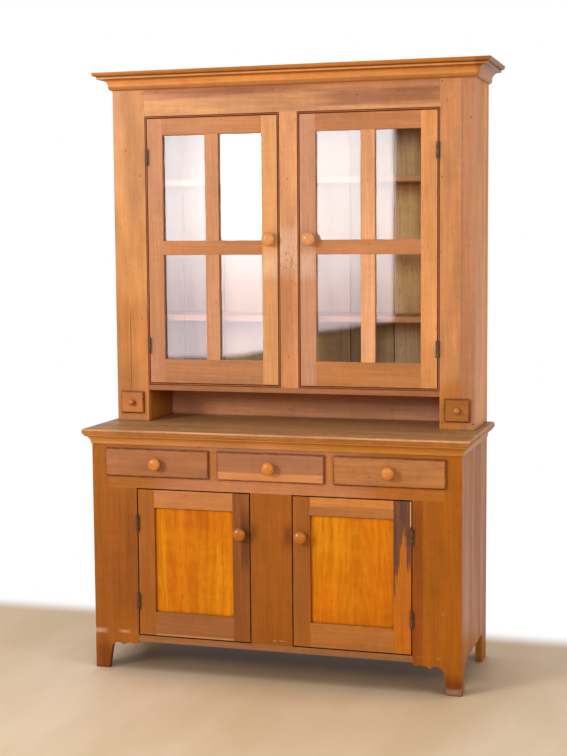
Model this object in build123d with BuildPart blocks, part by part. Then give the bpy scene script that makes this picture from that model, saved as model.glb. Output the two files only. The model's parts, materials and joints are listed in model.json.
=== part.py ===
from build123d import *
from dataclasses import dataclass
from math import sqrt
import os

# A china hutch in two parts. A shallow glazed case stands at the back of the top of a
# deeper base cupboard. The front faces -Y, +X is to the right of someone who faces it,
# the floor is Z = 0, and the origin is at the bottom centre of the whole box.
# All sizes are millimetres.

# Overall sizes
total_height = 2134.0
base_width = 1330.0
base_depth = 508.0
base_height = 868.0
hutch_width = base_width
hutch_depth = 270.0
frame_thickness = 22.0

# Base case
base_side_thickness = 25.0
base_end_stile_width = 62.0
base_wide_stile_width = 168.0
base_center_stile_width = 149.0
foot_clearance = 105.0
bottom_rail_height = 22.0
drawer_rail_height = 50.0
drawer_opening_height = 83.0
drawer_top_rail_height = 54.0
drawer_divider_width = 47.0
bottom_board_thickness = 22.0
base_shelf_thickness = 20.0
base_shelf_rise = 253.0
base_shelf_setback = 40.0

# Feet and their cut-outs
foot_width = 50.0
ankle_width = 62.0
ankle_height = 78.0
scallop_corner = 16.0
scallop_drop = 11.5
scallop_rise = 2.5
cusp_offset = 60.0
cusp_drop = 18.0
side_foot_length = 52.0
side_foot_height = 58.0
side_arch_height = 103.0
side_arch_run = 100.0
rear_foot_length = 83.0
rear_arch_radius = 14.0

# Top of the base and the moulding under it
worktop_thickness = 22.0
worktop_overhang = 28.0
worktop_edge_radius = 8.0
cove_height = 32.0
cove_projection = 22.0
cove_lip = 4.0

# Glazed case
hutch_side_thickness = 20.0
hutch_stile_width = 123.0
hutch_center_stile_width = 65.0
niche_height = 115.0
lower_rail_height = 19.0
frieze_height = 145.0
bead_width = 7.0
bead_quirk = 1.2
hutch_shelf_thickness = 20.0
hutch_shelf_setback = 18.0
lower_shelf_rise = 236.0
upper_shelf_drop = 248.0
niche_back_thickness = 12.0
top_board_thickness = 18.0
cornice_stand = 12.0

# Cornice section: projections from the case, and how far down from the top each ends
cornice_height = 62.0
cornice_projection = 57.0
cornice_edge_drop = 4.0
cornice_ovolo_projection = 47.0
cornice_ovolo_drop = 14.0
cornice_fillet_projection = 44.0
cornice_fillet_drop = 23.0
cornice_cove_projection = 33.0
cornice_cove_drop = 48.0
cornice_foot_projection = 12.0

# Back boards, let into rebates in the sides, and housings for shelves
back_board_thickness = 15.0
back_board_inset = 12.0
back_rebate = 10.0
back_board_count = 8
back_joint_bevel = 2.0
housing_depth = 8.0

# Doors
glass_door_gap = 2.5
panel_door_gap = 4.5
glass_stile_width = 57.0
glass_top_rail = 60.0
glass_middle_rail = 52.0
glass_bottom_rail = 86.5
muntin_width = 50.0
glass_setback = 12.0
glass_thickness = 3.0
glass_rebate = 8.0
glass_edge_clearance = 2.0
panel_stile_width = 61.0
panel_top_rail = 63.0
panel_bottom_rail = 84.5
panel_recess = 8.0
panel_thickness = 8.0
panel_groove = 9.0
panel_edge_clearance = 1.5
tenon_length = 30.0
muntin_tenon_length = 12.0
tenon_thickness = 8.0
tenon_shoulder = 2.0
tenon_setback = 7.0

# Butt hinges, whose barrels stand just in front of the faces
barrel_radius = 5.0
barrel_stand = 0.5
hinge_height = 57.0
leaf_thickness = 2.5
leaf_half_gap = 0.25
leaf_depth = 19.0
pin_radius = 2.0
running_fit = 0.08
knuckle_gap = 0.3
glass_hinge_inset = 137.0
panel_hinge_inset = 120.0

# Knobs, as shares of a knob's rim radius and of how far it stands out
knob_foot_share = 0.5
knob_waist_share = 0.42
knob_underside_share = 0.72
knob_crown_share = 0.78
knob_neck_length_share = 0.42
knob_rim_level_share = 0.66
knob_crown_level_share = 0.88

# Knobs of the doors, and the turn buttons that hold the doors shut
face_gap = 0.3
glass_knob_rise = 29.5
glass_knob_insets = {"left": 28.0, "right": 35.0}
glass_knob_diameter = 50.0
glass_knob_projection = 36.0
panel_knob_drop = 139.5
panel_knob_diameter = 47.0
panel_knob_projection = 35.0
spindle_radius = 6.0
spindle_tail = 3.0
button_gap = 0.5
button_thickness = 12.0
button_width = 18.0
button_reach = 46.0

# Drawers with lipped fronts
lip_proud = 10.0
lip_round = 5.0
front_inner_depth = 12.0
drawer_clearance = 1.5
drawer_head_clearance = 2.0
drawer_bottom_rise = 9.0
dovetail_length = 9.0
dovetail_flare = 3.0
dovetail_neck_share = 0.54
runner_ledge = 14.0
runner_thickness = 20.0
guide_height = 18.0
drawer_knob_projection = 34.0

# Small drawers beside the open niche
small_opening_width = 74.5
small_opening_height = 66.0
small_opening_rise = 36.0
small_opening_inset = 23.5
partition_thickness = 12.0
small_runner_width = 26.0


@dataclass
class DrawerSize:
    """The sizes that differ between the wide drawers and the small ones."""
    lip_overlap: float
    side_thickness: float
    bottom_thickness: float
    groove: float
    length: float
    dovetail_count: int
    knob_diameter: float
    knob_projection: float
    tenon_radius: float


wide_drawer = DrawerSize(lip_overlap=8.0, side_thickness=12.0, bottom_thickness=8.0,
                         groove=5.0, length=430.0, dovetail_count=3, knob_diameter=45.0,
                         knob_projection=drawer_knob_projection, tenon_radius=6.0)
small_drawer = DrawerSize(lip_overlap=7.0, side_thickness=9.0, bottom_thickness=6.0,
                          groove=4.0, length=200.0, dovetail_count=2, knob_diameter=22.0,
                          knob_projection=19.0, tenon_radius=3.5)

# Planes from front to back. The drawer knobs reach furthest forward.
drawer_reach = lip_proud + drawer_knob_projection
base_front = (drawer_reach - base_depth) / 2
back = base_front + base_depth
hutch_front = back - hutch_depth
base_frame_back = base_front + frame_thickness
hutch_frame_back = hutch_front + frame_thickness
board_front = back - back_board_inset - back_board_thickness

# Distances from the middle
base_half = base_width / 2
hutch_half = hutch_width / 2
base_inner = base_half - base_side_thickness
hutch_inner = hutch_half - hutch_side_thickness
panel_opening_outer = base_half - base_wide_stile_width
panel_opening_inner = base_center_stile_width / 2
drawer_field = base_half - base_end_stile_width
drawer_opening_width = (2 * drawer_field - 2 * drawer_divider_width) / 3
divider_near = drawer_opening_width / 2
divider_far = divider_near + drawer_divider_width
glass_opening_outer = hutch_half - hutch_stile_width
glass_opening_inner = hutch_center_stile_width / 2
small_opening_outer = hutch_half - small_opening_inset
small_opening_inner = small_opening_outer - small_opening_width
partition_outer = glass_opening_outer + partition_thickness

# Levels
worktop_underside = base_height - worktop_thickness
drawer_high = worktop_underside - drawer_top_rail_height
drawer_low = drawer_high - drawer_opening_height
panel_opening_low = foot_clearance + bottom_rail_height
panel_opening_high = drawer_low - drawer_rail_height
niche_top = base_height + niche_height
glass_opening_low = niche_top + lower_rail_height
case_top = total_height - cornice_stand
glass_opening_high = case_top - frieze_height
small_low = base_height + small_opening_rise
small_high = small_low + small_opening_height
bottom_board_levels = (panel_opening_low - bottom_board_thickness, panel_opening_low)
base_shelf_low = panel_opening_low + base_shelf_rise
base_shelf_levels = (base_shelf_low, base_shelf_low + base_shelf_thickness)
lower_shelf_low = glass_opening_low + lower_shelf_rise
upper_shelf_low = glass_opening_high - upper_shelf_drop
hutch_board_levels = {
    "floor": (niche_top, glass_opening_low),
    "lower_shelf": (lower_shelf_low, lower_shelf_low + hutch_shelf_thickness),
    "upper_shelf": (upper_shelf_low, upper_shelf_low + hutch_shelf_thickness),
    "top": (case_top - top_board_thickness, case_top),
}

SIDES = {"left": -1, "right": 1}

os.makedirs("parts", exist_ok=True)


def finish(name, *pieces):
    """Label one piece, or a group of separate pieces, and write its STEP file."""
    solids = [piece.part for piece in pieces]
    shape = solids[0] if len(solids) == 1 else Compound(children=solids)
    shape.label = name
    export_step(shape, f"parts/{name}.step")


def block(x, y, z, mode=Mode.ADD):
    """Add or cut a box between the two ends given along each axis."""
    with Locations(((x[0] + x[1]) / 2, (y[0] + y[1]) / 2, (z[0] + z[1]) / 2)):
        Box(abs(x[1] - x[0]), abs(y[1] - y[0]), abs(z[1] - z[0]), mode=mode)


def board(x, y, z):
    """One plain board between the two ends given along each axis."""
    with BuildPart() as piece:
        block(x, y, z)
    return piece


def on_side(side, near, far):
    """Two distances from the middle, as X ends on the left (-1) or the right (1)."""
    return (side * near, side * far)


def widened(ends, amount):
    """A span that reaches further at both ends, or less far for a negative amount."""
    return (ends[0] - amount, ends[1] + amount)


def upright(radius, x, y, z, mode=Mode.ADD):
    """Add or cut a vertical cylinder."""
    with Locations((x, y, (z[0] + z[1]) / 2)):
        Cylinder(radius, z[1] - z[0], mode=mode)


def bend(start, toward, end):
    """An arc between two points that bends towards a third, as a quarter circle does."""
    fullness = sqrt(2) - 1
    middle = tuple((a + b) / 2 + (c - (a + b) / 2) * fullness
                   for a, b, c in zip(start, end, toward))
    ThreePointArc(start, middle, end)


def lengthwise(radius, x, y, z, mode=Mode.ADD):
    """Add or cut a cylinder that runs from front to back."""
    with Locations((x, (y[0] + y[1]) / 2, z)):
        Cylinder(radius, y[1] - y[0], rotation=(90, 0, 0), mode=mode)


# Hinges. Each pin stands in front of the gap between its door and the case.

barrel_setback = barrel_radius + barrel_stand
glass_axis_x = glass_opening_outer - bead_width - glass_door_gap / 2
panel_axis_x = panel_opening_outer - panel_door_gap / 2
glass_door_levels = widened((glass_opening_low, glass_opening_high),
                            -bead_width - glass_door_gap)
panel_door_levels = widened((panel_opening_low, panel_opening_high), -panel_door_gap)


def hinge_levels(door_levels, inset):
    """Bottom and top of the lower and of the upper hinge of a door."""
    centers = (door_levels[0] + inset, door_levels[1] - inset)
    return [widened((center, center), hinge_height / 2) for center in centers]


glass_hinges = hinge_levels(glass_door_levels, glass_hinge_inset)
panel_hinges = hinge_levels(panel_door_levels, panel_hinge_inset)


def knuckle_levels(level, on_case):
    """The case leaf has the outer thirds of the barrel and the door leaf the middle."""
    low, high = level
    third = (high - low) / 3
    if on_case:
        return [(low, low + third), (high - third, high)]
    return [(low + third + knuckle_gap, high - third - knuckle_gap)]


def leaf_ends(side, axis_x, on_case):
    """X ends of a leaf's plate, just beside the pin's axis."""
    toward = side if on_case else -side
    near = side * axis_x + toward * leaf_half_gap
    return (near, near + toward * leaf_thickness)


def hinge_leaf(side, axis_x, face_y, level, on_case):
    """One leaf and its knuckles. The plate runs back from the pin into the gap."""
    x = side * axis_x
    axis_y = face_y - barrel_setback
    bore = pin_radius if on_case else pin_radius + running_fit
    with BuildPart() as leaf:
        block(leaf_ends(side, axis_x, on_case), (axis_y, face_y + leaf_depth), level)
        for other in knuckle_levels(level, not on_case):
            upright(barrel_radius + knuckle_gap, x, axis_y, widened(other, knuckle_gap),
                    mode=Mode.SUBTRACT)
        for knuckle in knuckle_levels(level, on_case):
            upright(barrel_radius, x, axis_y, knuckle)
        upright(bore, x, axis_y, level, mode=Mode.SUBTRACT)
    return leaf


def hinge_pin(side, axis_x, face_y, level):
    """A plain pin, held by the knuckles of the case leaf."""
    with BuildPart() as pin:
        upright(pin_radius, side * axis_x, face_y - barrel_setback, level)
    return pin


def cut_hinge_mortises(side, axis_x, face_y, levels, on_case):
    """Let the leaves into the edge of the door or case piece that is being built."""
    for level in levels:
        block(leaf_ends(side, axis_x, on_case), (face_y, face_y + leaf_depth), level,
              mode=Mode.SUBTRACT)


# Knobs are turned, with a spindle or a tenon that goes through the wood behind them.

def knob(x, face_y, z, diameter, projection, shank_radius, shank_length):
    """A mushroom knob that stands out from a face towards -Y."""
    rim = diameter / 2
    neck = projection * knob_neck_length_share
    underside = (rim * knob_underside_share, neck)
    crown = (rim * knob_crown_share, projection * knob_crown_level_share)
    outward = Plane(origin=(x, face_y, z), x_dir=(1, 0, 0), z_dir=(0, 0, -1))
    with BuildPart() as turned:
        with BuildSketch(outward):
            with BuildLine():
                Polyline((0, projection), (0, -shank_length), (shank_radius, -shank_length),
                         (shank_radius, 0), (rim * knob_foot_share, 0))
                ThreePointArc((rim * knob_foot_share, 0), (rim * knob_waist_share, neck / 2),
                              underside)
                ThreePointArc(underside, (rim, projection * knob_rim_level_share), crown)
                TangentArc((0, projection), crown, tangent=(1, 0))
            make_face()
        revolve(axis=Axis((x, face_y, z), (0, -1, 0)))
    return turned


def turn_button(x, face_y, z):
    """A finger of wood behind the door, fixed on the spindle and hanging straight down."""
    start = face_y + frame_thickness + button_gap
    y = (start, start + button_thickness)
    with BuildPart() as button:
        lengthwise(button_width / 2, x, y, z)
        block(widened((x, x), button_width / 2), y, (z - button_reach, z))
        lengthwise(spindle_radius, x, y, z, mode=Mode.SUBTRACT)
    return button


def door_knob(x, face_y, z, diameter, projection):
    """A knob on a spindle that turns in the door's stile and carries the button."""
    length = face_gap + frame_thickness + button_gap + button_thickness + spindle_tail
    return knob(x, face_y - face_gap, z, diameter, projection, spindle_radius, length)


# Base case

def base_stile(side):
    """Wide scalloped stile, notched beside the drawers, with its foot."""
    inner = panel_opening_outer
    cusp = inner + cusp_offset
    ankle = base_half - ankle_width
    corner = inner + scallop_corner
    low = foot_clearance - scallop_drop
    crown = low + scallop_rise

    def at(x, z):
        return (side * x, z)

    with BuildPart() as stile:
        with BuildSketch(Plane.XZ.offset(-base_front)):
            with BuildLine():
                Polyline(at(base_half - foot_width, 0), at(base_half, 0),
                         at(base_half, worktop_underside), at(drawer_field, worktop_underside),
                         at(drawer_field, panel_opening_high), at(inner, panel_opening_high),
                         at(inner, foot_clearance))
                bend(at(inner, foot_clearance), at(inner, low), at(corner, low))
                ThreePointArc(at(corner, low), at((corner + cusp) / 2, crown),
                              at(cusp, foot_clearance - cusp_drop))
                ThreePointArc(at(cusp, foot_clearance - cusp_drop),
                              at((cusp + ankle) / 2, crown), at(ankle, ankle_height))
                Line(at(ankle, ankle_height), at(base_half - foot_width, 0))
            make_face()
        extrude(amount=-frame_thickness)
        cut_hinge_mortises(side, panel_axis_x, base_front, panel_hinges, on_case=True)
    return stile


def base_side(side):
    """Side board behind the stile, cut out below to leave a front and a back foot."""
    foot = base_front + side_foot_length
    arch = foot + side_arch_run
    rear = back - rear_foot_length
    x = on_side(side, base_inner, base_half)
    housing = on_side(side, base_inner, base_inner + housing_depth)
    with BuildPart() as panel:
        with BuildSketch(Plane.YZ.offset(min(x))) as outline:
            with BuildLine():
                Polyline((arch, side_arch_height), (rear, side_arch_height), (rear, 0),
                         (back, 0), (back, worktop_underside),
                         (base_frame_back, worktop_underside), (base_frame_back, 0),
                         (foot, 0), (foot, side_foot_height))
                bend((foot, side_foot_height), (foot, side_arch_height),
                     (arch, side_arch_height))
            make_face()
            corner = Vector(rear, side_arch_height)
            fillet(outline.vertices().sort_by_distance(corner)[0], rear_arch_radius)
        extrude(amount=base_side_thickness)
        block(housing, (base_frame_back, board_front), bottom_board_levels,
              mode=Mode.SUBTRACT)
        block(housing, (base_frame_back + base_shelf_setback, board_front),
              base_shelf_levels, mode=Mode.SUBTRACT)
        block(on_side(side, base_inner, base_inner + back_rebate), (board_front, back),
              (foot_clearance, worktop_underside), mode=Mode.SUBTRACT)
    return panel


def back_boards(half, levels):
    """Upright boards side by side, each bevelled where it meets the next."""
    width = 2 * half / back_board_count
    boards = []
    for index in range(back_board_count):
        left = -half + index * width
        with BuildPart() as upright_board:
            block((left, left + width), (board_front, board_front + back_board_thickness),
                  levels)
            front_face = upright_board.faces().sort_by(Axis.Y)[0]
            chamfer(front_face.edges().filter_by(Axis.Z), back_joint_bevel)
        boards.append(upright_board)
    return boards


def runner(plate_x, guide_x, front, low):
    """A drawer runner, with a guide on top that keeps the drawer straight."""
    with BuildPart() as piece:
        block(plate_x, (front, board_front), (low - runner_thickness, low))
        block(guide_x, (front, board_front), (low, low + guide_height))
    return piece


def front_moulding(section, half, front, projection):
    """A moulding along the front, mitred at both corners."""
    with BuildPart() as piece:
        with BuildSketch(Plane.YZ.offset(-half - projection)):
            section(front, -1)
        extrude(amount=2 * (half + projection))
        for side in SIDES.values():
            split(bisect_by=Plane(origin=(side * half, front, 0), z_dir=(-side, -1, 0)),
                  keep=Keep.TOP)
    return piece


def return_moulding(section, side, half, front, projection):
    """The same moulding along one side, from its mitre to the back."""
    start = front - projection
    with BuildPart() as piece:
        with BuildSketch(Plane.XZ.offset(-start)):
            section(side * half, side)
        extrude(amount=start - back)
        split(bisect_by=Plane(origin=(side * half, front, 0), z_dir=(side, 1, 0)),
              keep=Keep.TOP)
    return piece


def mouldings(section, half, front, projection):
    """A moulding round the front and both sides."""
    returns = [return_moulding(section, side, half, front, projection)
               for side in SIDES.values()]
    return [front_moulding(section, half, front, projection)] + returns


def cove_section(face, out):
    """Section of the cove under the worktop, against a face."""
    def at(projection, drop):
        return (face + out * projection, worktop_underside - drop)

    with BuildLine() as outline:
        Polyline(at(cove_lip, cove_height), at(0, cove_height), at(0, 0),
                 at(cove_projection, 0), at(cove_projection, cove_lip))
        bend(at(cove_projection, cove_lip), at(cove_lip, cove_lip), at(cove_lip, cove_height))
    make_face(outline.edges())


def cornice_section(face, out):
    """Section of the cornice against a face: an ovolo, a fillet, a cove and a round foot."""
    def at(projection, drop):
        return (face + out * projection, total_height - drop)

    edge = at(cornice_projection, cornice_edge_drop)
    ovolo = at(cornice_ovolo_projection, cornice_ovolo_drop)
    cove_start = at(cornice_cove_projection, cornice_fillet_drop)
    cove_end = at(cornice_foot_projection, cornice_cove_drop)
    foot = at(cornice_foot_projection, cornice_height - cornice_foot_projection)
    with BuildLine() as outline:
        Polyline(at(0, cornice_height), at(0, 0), at(cornice_projection, 0), edge)
        bend(edge, at(cornice_projection, cornice_ovolo_drop), ovolo)
        Polyline(ovolo, at(cornice_fillet_projection, cornice_ovolo_drop),
                 at(cornice_fillet_projection, cornice_fillet_drop), cove_start)
        bend(cove_start, at(cornice_foot_projection, cornice_fillet_drop), cove_end)
        Line(cove_end, foot)
        bend(foot, at(cornice_foot_projection, cornice_height), at(0, cornice_height))
    make_face(outline.edges())


def worktop():
    """The top of the base, with rounded front and side edges."""
    reach = base_half + worktop_overhang
    with BuildPart() as top:
        block((-reach, reach), (base_front - worktop_overhang, back),
              (worktop_underside, base_height))
        for face in (top.faces().sort_by(Axis.Z)[0], top.faces().sort_by(Axis.Z)[-1]):
            fillet(face.edges().sort_by(Axis.Y)[:-1], worktop_edge_radius)
    return top


# Glazed case

def hutch_stile(side):
    """Wide stile of the glazed case, with the opening for a small drawer."""
    y = (hutch_front, hutch_frame_back)
    with BuildPart() as stile:
        block(on_side(side, glass_opening_outer, hutch_half), y, (base_height, case_top))
        block(on_side(side, small_opening_inner, small_opening_outer), y,
              (small_low, small_high), mode=Mode.SUBTRACT)
    return stile


def hutch_board_depth(name):
    """Front and back of a floor, shelf or top. Only the shelves are set back."""
    setback = hutch_shelf_setback if "shelf" in name else 0.0
    return (hutch_frame_back + setback, board_front)


def hutch_side(side):
    """Side board of the glazed case, with housings for its boards."""
    housing = on_side(side, hutch_inner, hutch_inner + housing_depth)
    with BuildPart() as panel:
        block(on_side(side, hutch_inner, hutch_half), (hutch_frame_back, back),
              (base_height, case_top))
        for name, levels in hutch_board_levels.items():
            block(housing, hutch_board_depth(name), levels, mode=Mode.SUBTRACT)
        block(on_side(side, hutch_inner, hutch_inner + back_rebate), (board_front, back),
              (base_height, case_top), mode=Mode.SUBTRACT)
    return panel


def bead_strip(is_upright, edge, inward, ends):
    """One strip of the bead inside a door opening, mitred at both ends."""
    radius = (bead_width - bead_quirk) / 2
    body = frame_thickness - radius
    plane = Plane.XY if is_upright else Plane.YZ
    size = (bead_width, body) if is_upright else (body, bead_width)

    def at(across, depth):
        place = (edge + inward * across, hutch_front + depth)
        return place if is_upright else place[::-1]

    with BuildPart() as strip:
        with BuildSketch(plane.offset(ends[0])):
            with Locations(at(bead_width / 2, radius + body / 2)):
                Rectangle(*size)
            with Locations(at(bead_quirk + radius, radius)):
                Circle(radius)
        extrude(amount=ends[1] - ends[0])
        for end, onward in ((ends[0], 1), (ends[1], -1)):
            corner = (edge, hutch_front, end) if is_upright else (end, hutch_front, edge)
            normal = (-inward, 0, onward) if is_upright else (onward, 0, -inward)
            split(bisect_by=Plane(origin=corner, z_dir=normal), keep=Keep.TOP)
    return strip


def opening_beads(side):
    """The four strips round one door opening. The outer one takes the hinge leaves."""
    levels = (glass_opening_low, glass_opening_high)
    x = sorted(on_side(side, glass_opening_inner, glass_opening_outer))
    with BuildPart() as hinge_strip:
        add(bead_strip(True, side * glass_opening_outer, -side, levels).part)
        cut_hinge_mortises(side, glass_axis_x, hutch_front, glass_hinges, on_case=True)
    return [hinge_strip, bead_strip(True, side * glass_opening_inner, side, levels),
            bead_strip(False, glass_opening_low, 1, x),
            bead_strip(False, glass_opening_high, -1, x)]


# Doors

def make_glass_door(name, side):
    """A door of four panes: stiles, three rails, a muntin in each row, glass and fittings."""
    inner = glass_opening_inner + bead_width + glass_door_gap
    outer = glass_opening_outer - bead_width - glass_door_gap
    lock_edge = inner + glass_stile_width
    hinge_edge = outer - glass_stile_width
    middle = (inner + outer) / 2
    low, high = glass_door_levels
    pane_low = low + glass_bottom_rail
    pane_high = high - glass_top_rail
    center = (pane_low + pane_high) / 2
    middle_rail = widened((center, center), glass_middle_rail / 2)
    rails = [(low, pane_low), middle_rail, (pane_high, high)]
    rows = [(pane_low, middle_rail[0]), (middle_rail[1], pane_high)]
    columns = [(lock_edge, middle - muntin_width / 2), (middle + muntin_width / 2, hinge_edge)]
    depth = (hutch_front, hutch_frame_back)
    tenon_depth = (hutch_front + tenon_setback, hutch_front + tenon_setback + tenon_thickness)
    shoulder = glass_rebate + tenon_shoulder
    knob_x = inner + glass_knob_insets[name]
    knob_z = center + glass_knob_rise

    def cut_rebates():
        for column in columns:
            for row in rows:
                block(on_side(side, *widened(column, glass_rebate)),
                      (hutch_front + glass_setback, hutch_frame_back),
                      widened(row, glass_rebate), mode=Mode.SUBTRACT)

    def rail_tenons(mode):
        x = on_side(side, lock_edge - tenon_length, hinge_edge + tenon_length)
        for levels in rails:
            block(x, tenon_depth, widened(levels, -shoulder), mode=mode)

    def muntin_tenon(row, mode):
        x = on_side(side, *widened((middle, middle), muntin_width / 2 - shoulder))
        block(x, tenon_depth, widened(row, muntin_tenon_length), mode=mode)

    with BuildPart() as lock_stile:
        block(on_side(side, inner, lock_edge), depth, (low, high))
        cut_rebates()
        rail_tenons(Mode.SUBTRACT)
        lengthwise(spindle_radius + running_fit, side * knob_x, depth, knob_z,
                   mode=Mode.SUBTRACT)

    with BuildPart() as hinge_stile:
        block(on_side(side, hinge_edge, outer), depth, (low, high))
        cut_rebates()
        rail_tenons(Mode.SUBTRACT)
        cut_hinge_mortises(side, glass_axis_x, hutch_front, glass_hinges, on_case=False)

    with BuildPart() as rail_set:
        for levels in rails:
            block(on_side(side, lock_edge, hinge_edge), depth, levels)
        cut_rebates()
        rail_tenons(Mode.ADD)
        for row in rows:
            muntin_tenon(row, Mode.SUBTRACT)

    with BuildPart() as muntins:
        for row in rows:
            block(on_side(side, columns[0][1], columns[1][0]), depth, row)
        cut_rebates()
        for row in rows:
            muntin_tenon(row, Mode.ADD)

    with BuildPart() as panes:
        overlap = glass_rebate - glass_edge_clearance
        glass_front = hutch_front + glass_setback
        for column in columns:
            for row in rows:
                block(on_side(side, *widened(column, overlap)),
                      (glass_front, glass_front + glass_thickness), widened(row, overlap))

    finish(f"glass_door_{name}_stiles", lock_stile, hinge_stile)
    finish(f"glass_door_{name}_rails", rail_set)
    finish(f"glass_door_{name}_muntins", muntins)
    finish(f"glass_door_{name}_panes", panes)
    finish(f"glass_door_{name}_hinge_leaves",
           *[hinge_leaf(side, glass_axis_x, hutch_front, level, on_case=False)
             for level in glass_hinges])
    finish(f"glass_door_{name}_latch",
           door_knob(side * knob_x, hutch_front, knob_z, glass_knob_diameter,
                     glass_knob_projection),
           turn_button(side * knob_x, hutch_front, knob_z))


def make_panel_door(name, side):
    """A door with a flat panel let into grooves in its stiles and rails."""
    inner = panel_opening_inner + panel_door_gap
    outer = panel_opening_outer - panel_door_gap
    lock_edge = inner + panel_stile_width
    hinge_edge = outer - panel_stile_width
    low, high = panel_door_levels
    panel_low = low + panel_bottom_rail
    panel_high = high - panel_top_rail
    rails = [(low, panel_low), (panel_high, high)]
    depth = (base_front, base_frame_back)
    tenon_depth = (base_front + tenon_setback, base_front + tenon_setback + tenon_thickness)
    panel_depth = (base_front + panel_recess, base_front + panel_recess + panel_thickness)
    shoulder = panel_groove + tenon_shoulder
    knob_x = inner + panel_stile_width / 2
    knob_z = high - panel_knob_drop

    def sheet(reach, mode):
        """The panel's own sheet, or its grooves, reaching into the frame all round."""
        block(on_side(side, *widened((lock_edge, hinge_edge), reach)), panel_depth,
              widened((panel_low, panel_high), reach), mode=mode)

    def rail_tenons(mode):
        x = on_side(side, lock_edge - tenon_length, hinge_edge + tenon_length)
        for levels in rails:
            block(x, tenon_depth, widened(levels, -shoulder), mode=mode)

    with BuildPart() as lock_stile:
        block(on_side(side, inner, lock_edge), depth, (low, high))
        sheet(panel_groove, Mode.SUBTRACT)
        rail_tenons(Mode.SUBTRACT)
        lengthwise(spindle_radius + running_fit, side * knob_x, depth, knob_z,
                   mode=Mode.SUBTRACT)

    with BuildPart() as hinge_stile:
        block(on_side(side, hinge_edge, outer), depth, (low, high))
        sheet(panel_groove, Mode.SUBTRACT)
        rail_tenons(Mode.SUBTRACT)
        cut_hinge_mortises(side, panel_axis_x, base_front, panel_hinges, on_case=False)

    with BuildPart() as rail_set:
        for levels in rails:
            block(on_side(side, lock_edge, hinge_edge), depth, levels)
        sheet(panel_groove, Mode.SUBTRACT)
        rail_tenons(Mode.ADD)

    with BuildPart() as panel:
        sheet(panel_groove - panel_edge_clearance, Mode.ADD)

    finish(f"panel_door_{name}_stiles", lock_stile, hinge_stile)
    finish(f"panel_door_{name}_rails", rail_set)
    finish(f"panel_door_{name}_panel", panel)
    finish(f"panel_door_{name}_hinge_leaves",
           *[hinge_leaf(side, panel_axis_x, base_front, level, on_case=False)
             for level in panel_hinges])
    finish(f"panel_door_{name}_latch",
           door_knob(side * knob_x, base_front, knob_z, panel_knob_diameter,
                     panel_knob_projection),
           turn_button(side * knob_x, base_front, knob_z))


# Drawers

def dovetails(x, y, levels, count, mode):
    """Tails that reach forward from y into the drawer front, spread up one side."""
    pitch = (levels[1] - levels[0]) / count
    narrow = pitch * dovetail_neck_share / 2
    wide = narrow + dovetail_flare
    tip = y - dovetail_length
    for index in range(count):
        middle = levels[0] + pitch * (index + 0.5)
        with BuildSketch(Plane.YZ.offset(min(x))) as tail:
            with BuildLine():
                Polyline((y, middle - narrow), (y, middle + narrow), (tip, middle + wide),
                         (tip, middle - wide), close=True)
            make_face()
        extrude(tail.sketch, amount=abs(x[1] - x[0]), mode=mode)


def make_drawer(name, size, center, face_y, opening_width, levels):
    """A drawer with a lipped front dovetailed to its sides, a back, a bottom and a knob."""
    half = opening_width / 2 - drawer_clearance
    inner_half = half - size.side_thickness
    low = levels[0] + face_gap
    high = levels[1] - drawer_head_clearance
    face = face_y - lip_proud
    joint = face_y + front_inner_depth
    end = joint + size.length
    bottom_low = low + drawer_bottom_rise
    bottom_high = bottom_low + size.bottom_thickness
    knob_z = (levels[0] + levels[1]) / 2
    sides_x = [on_side(side, inner_half, half) for side in SIDES.values()]
    sides_x = [(center + near, center + far) for near, far in sides_x]

    def bottom_sheet(mode):
        block(widened((center, center), inner_half + size.groove), (joint - size.groove, end),
              (bottom_low, bottom_high), mode=mode)

    with BuildPart() as front:
        block(widened((center, center), opening_width / 2 + size.lip_overlap),
              (face, face_y - face_gap), widened(levels, size.lip_overlap))
        fillet(front.faces().sort_by(Axis.Y)[0].edges(), lip_round)
        block(widened((center, center), half), (face_y - face_gap, joint), (low, high))
        for x in sides_x:
            dovetails(x, joint, (low, high), size.dovetail_count, Mode.SUBTRACT)
        bottom_sheet(Mode.SUBTRACT)
        lengthwise(size.tenon_radius, center, (face, joint), knob_z, mode=Mode.SUBTRACT)

    box = []
    for x in sides_x:
        with BuildPart() as side_board:
            block(x, (joint, end), (low, high))
            dovetails(x, joint, (low, high), size.dovetail_count, Mode.ADD)
            bottom_sheet(Mode.SUBTRACT)
        box.append(side_board)
    box.append(board(widened((center, center), inner_half), (end - size.side_thickness, end),
                     (bottom_high, high)))
    with BuildPart() as bottom:
        bottom_sheet(Mode.ADD)
    box.append(bottom)

    finish(f"{name}_front", front)
    finish(f"{name}_box", *box)
    finish(f"{name}_knob", knob(center, face, knob_z, size.knob_diameter,
                                size.knob_projection, size.tenon_radius,
                                lip_proud + front_inner_depth))


# Write every node

for name, side in SIDES.items():
    finish(f"base_stile_{name}", base_stile(side))
    finish(f"base_side_{name}", base_side(side))
    finish(f"hutch_stile_{name}", hutch_stile(side))
    finish(f"hutch_side_{name}", hutch_side(side))
    make_glass_door(name, side)
    make_panel_door(name, side)
    make_drawer(f"small_drawer_{name}", small_drawer,
                side * (small_opening_inner + small_opening_outer) / 2, hutch_front,
                small_opening_width, (small_low, small_high))

drawer_step = drawer_opening_width + drawer_divider_width
for name, step in {"left": -1, "center": 0, "right": 1}.items():
    make_drawer(f"drawer_{name}", wide_drawer, step * drawer_step, base_front,
                drawer_opening_width, (drawer_low, drawer_high))

base_frame = (base_front, base_frame_back)
hutch_frame = (hutch_front, hutch_frame_back)

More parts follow.
